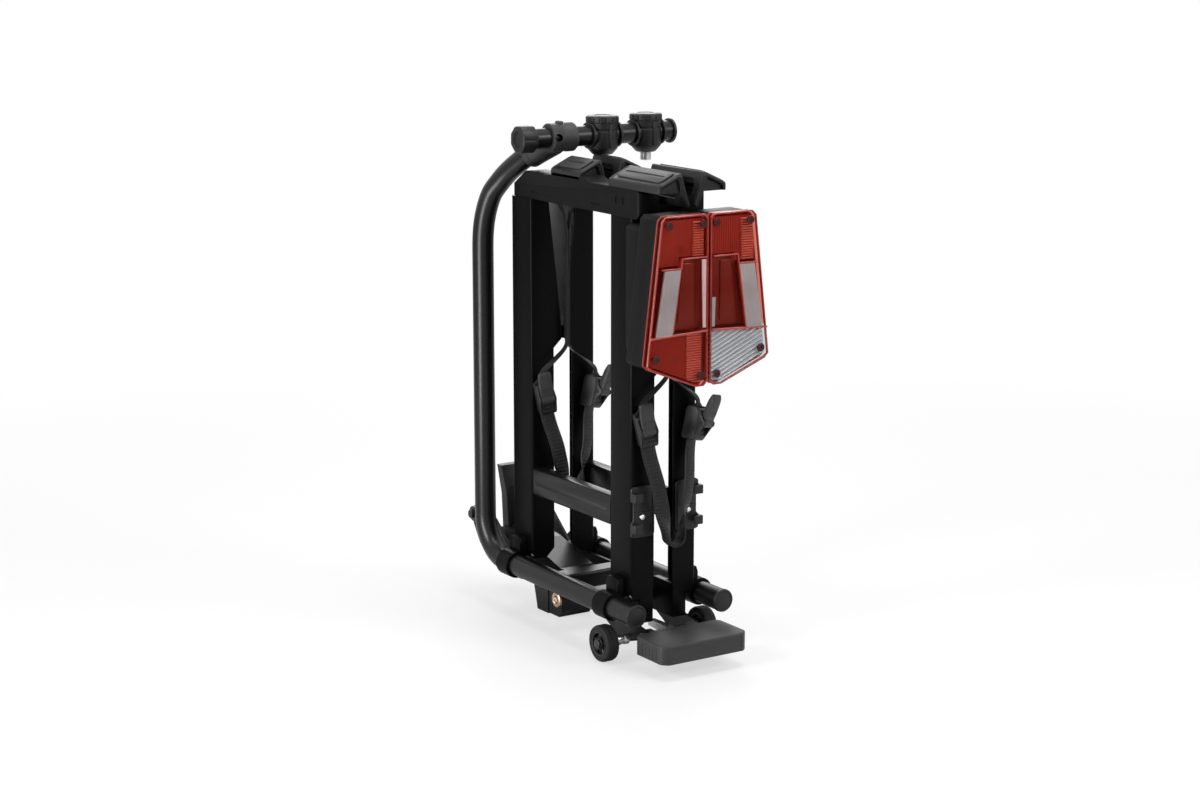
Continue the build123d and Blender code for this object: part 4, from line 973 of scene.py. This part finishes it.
class RACK_OT_coupling(bpy.types.Operator):
    """Add the bright ring and the nuts on the coupling's side"""
    bl_idname = "rack.coupling"
    bl_label = "Coupling details"

    def execute(self, context):
        rings, nuts = [], []
        for s in (-1, 1):
            rings.append(turned([(5.2, 0), (5.2, 2.6), (6.4, 3.6), (9.6, 3.6), (10.8, 2.6), (11, 0)],
                                (s * 25.6, *JAW_PIN), (s, 0, 0), 40))
            nuts.append(soften(rod(4.6, (s * 25.6, *JAW_PIN), (s * 30.4, *JAW_PIN), 6), 0.5, 2))
        done(join(*rings), "jaw_rings", "jaw", "zinc_steel", "warm_metal")
        done(join(*nuts), "jaw_nuts", "jaw", "zinc_steel", "bright_zinc")
        return {"FINISHED"}


CARRIED = {
    "powder_coat": ("front_cross_member", "middle_cross_member", "wheel_and_pedal_brackets", "coupling_side_plates",
                    "plate_studs", "coupling_body", "coupling_jaw"),
    "bright_zinc": ("tilt_pin", "pedal_shaft", "coupling_pins", "coupling_nuts"),
    "moulded_black": ("coupling_lever",),
}


class RACK_OT_carried(bpy.types.Operator):
    """Give the frame's own pieces their finishes"""
    bl_idname = "rack.carried"
    bl_label = "Carried-over pieces"

    def execute(self, context):
        for finish, nodes in CARRIED.items():
            for node in nodes:
                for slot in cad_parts[node].material_slots:
                    slot.material = FINISHES[finish]
        return {"FINISHED"}


# Studio

PLAIN_WHITE = (1, 1, 1, 1)
RACK_MIDDLE = Vector((0, 0, 0.36))
# Name, place, size and power. The edge lamp only shows as a reflection.
STUDIO_LAMPS = (
    ("key", (1.3, -2.4, 1.9), (0.9, 0.9), 34), ("side", (-2.6, -0.2, 1.6), (0.7, 0.7), 34),
    ("edge", (-1.05, -0.1, 0.3), (0.25, 0.7), 12), ("top", (0.1, -0.3, 2.6), (1.2, 1.2), 36),
    ("back", (1.2, 2.2, 1.5), (1.2, 1.2), 20))
AZIMUTH, ELEVATION = radians(-33.0), radians(11.75)
CAMERA_FROM = Vector((-0.1064, 0.2771, 3.251))      # along its right, up and back
CAMERA_FOOT = Vector((0, 0, 0.075))
PHOTO_FOCAL, PHOTO_WIDTH, SENSOR = 2448.0, 1200.0, 36.0


class RACK_OT_studio(bpy.types.Operator):
    """Add the floor, the lamps, the world and the camera"""
    bl_idname = "rack.studio"
    bl_label = "Studio"

    def execute(self, context):
        scene = context.scene
        scene.view_settings.view_transform = "Standard"
        rest()
        bpy.ops.mesh.primitive_plane_add(size=30, location=(0, 0, 0))
        floor = bpy.context.object
        floor.name = "studio_floor"
        bpy.ops.object.transform_apply(location=True, rotation=True, scale=True)
        f = Finish("studio_white", Base_Color=(0.86, 0.86, 0.86, 1), Roughness=0.7)
        seen = f.node("LightPath", output="Is Camera Ray")
        white = f.node("Emission", Color=PLAIN_WHITE, Strength=1.0)
        far = f.node("VectorMath", {"operation": "LENGTH"}, f.place, output="Value") * 0.8
        share = f.node("MapRange", {}, far, 0.4, 1.6, 0.62, 1.0)
        f.show(seen * share, f.surface, white)
        floor.data.materials.append(f.mat)

        world = bpy.data.worlds.new("studio_world")
        scene.world = world
        world.use_nodes = True
        sky = Nodes(world.node_tree)
        seen = sky.node("LightPath", output="Is Camera Ray")
        for ray in ("Is Transmission Ray", "Is Glossy Ray"):
            seen = sky.node("Math", {"operation": "MAXIMUM"}, seen, sky.node("LightPath", output=ray))
        strength = sky.node("MapRange", {}, seen, 0.0, 1.0, 0.25, 1.0)
        sky.node("OutputWorld", {}, sky.node("Background", {}, PLAIN_WHITE, strength))

        for name, at, across, watts in STUDIO_LAMPS:
            bpy.ops.object.light_add(type="AREA", location=at)
            lamp = bpy.context.object
            lamp.name = "studio_" + name
            lamp.data.shape = "RECTANGLE"
            lamp.data.size, lamp.data.size_y = across
            lamp.data.energy = watts
            lamp.visible_diffuse = name != "edge"
            lamp.rotation_euler = (RACK_MIDDLE - lamp.location).to_track_quat("-Z", "Y").to_euler()

        right = Vector((cos(AZIMUTH), sin(AZIMUTH), 0))
        back = Vector((sin(AZIMUTH) * cos(ELEVATION), -cos(AZIMUTH) * cos(ELEVATION), sin(ELEVATION)))
        turn = Matrix((right, back.cross(right), back)).transposed()
        bpy.ops.object.camera_add(location=HOME + CAMERA_FOOT + turn @ CAMERA_FROM)
        camera = bpy.context.object
        camera.rotation_euler = turn.to_euler()
        camera.data.sensor_width = SENSOR
        camera.data.lens = PHOTO_FOCAL / PHOTO_WIDTH * SENSOR
        camera.data.clip_end = 50
        scene.camera = camera
        return {"FINISHED"}


class RACK_PT_panel(bpy.types.Panel):
    """The rack's sizes, colours and pieces"""
    bl_idname = "RACK_PT_panel"
    bl_label = "Folding rack"
    bl_space_type = "VIEW_3D"
    bl_region_type = "UI"
    bl_category = "Rack"

    def draw(self, context):
        for group in (context.scene.rack_sizes, context.scene.rack_colours):
            for key in group.__annotations__:
                self.layout.prop(group, key)
        for step in STEPS:
            self.layout.operator(step.bl_idname)


STEPS = (RACK_OT_studio, RACK_OT_frame, RACK_OT_top, RACK_OT_trays, RACK_OT_bands, RACK_OT_lamps, RACK_OT_rollers,
         RACK_OT_coupling, RACK_OT_carried)
CLASSES = (RackSizes, RackColours, *STEPS, RACK_PT_panel)


def register():
    for c in CLASSES:
        bpy.utils.register_class(c)
    bpy.types.Scene.rack_sizes = bpy.props.PointerProperty(type=RackSizes)
    bpy.types.Scene.rack_colours = bpy.props.PointerProperty(type=RackColours)


def unregister():
    del bpy.types.Scene.rack_colours
    del bpy.types.Scene.rack_sizes
    for c in reversed(CLASSES):
        bpy.utils.unregister_class(c)


def main():
    register()
    make_finishes(bpy.context.scene.rack_colours)
    for step in STEPS:
        group, name = step.bl_idname.split(".")
        getattr(getattr(bpy.ops, group), name)()


if __name__ == "__main__":
    main()
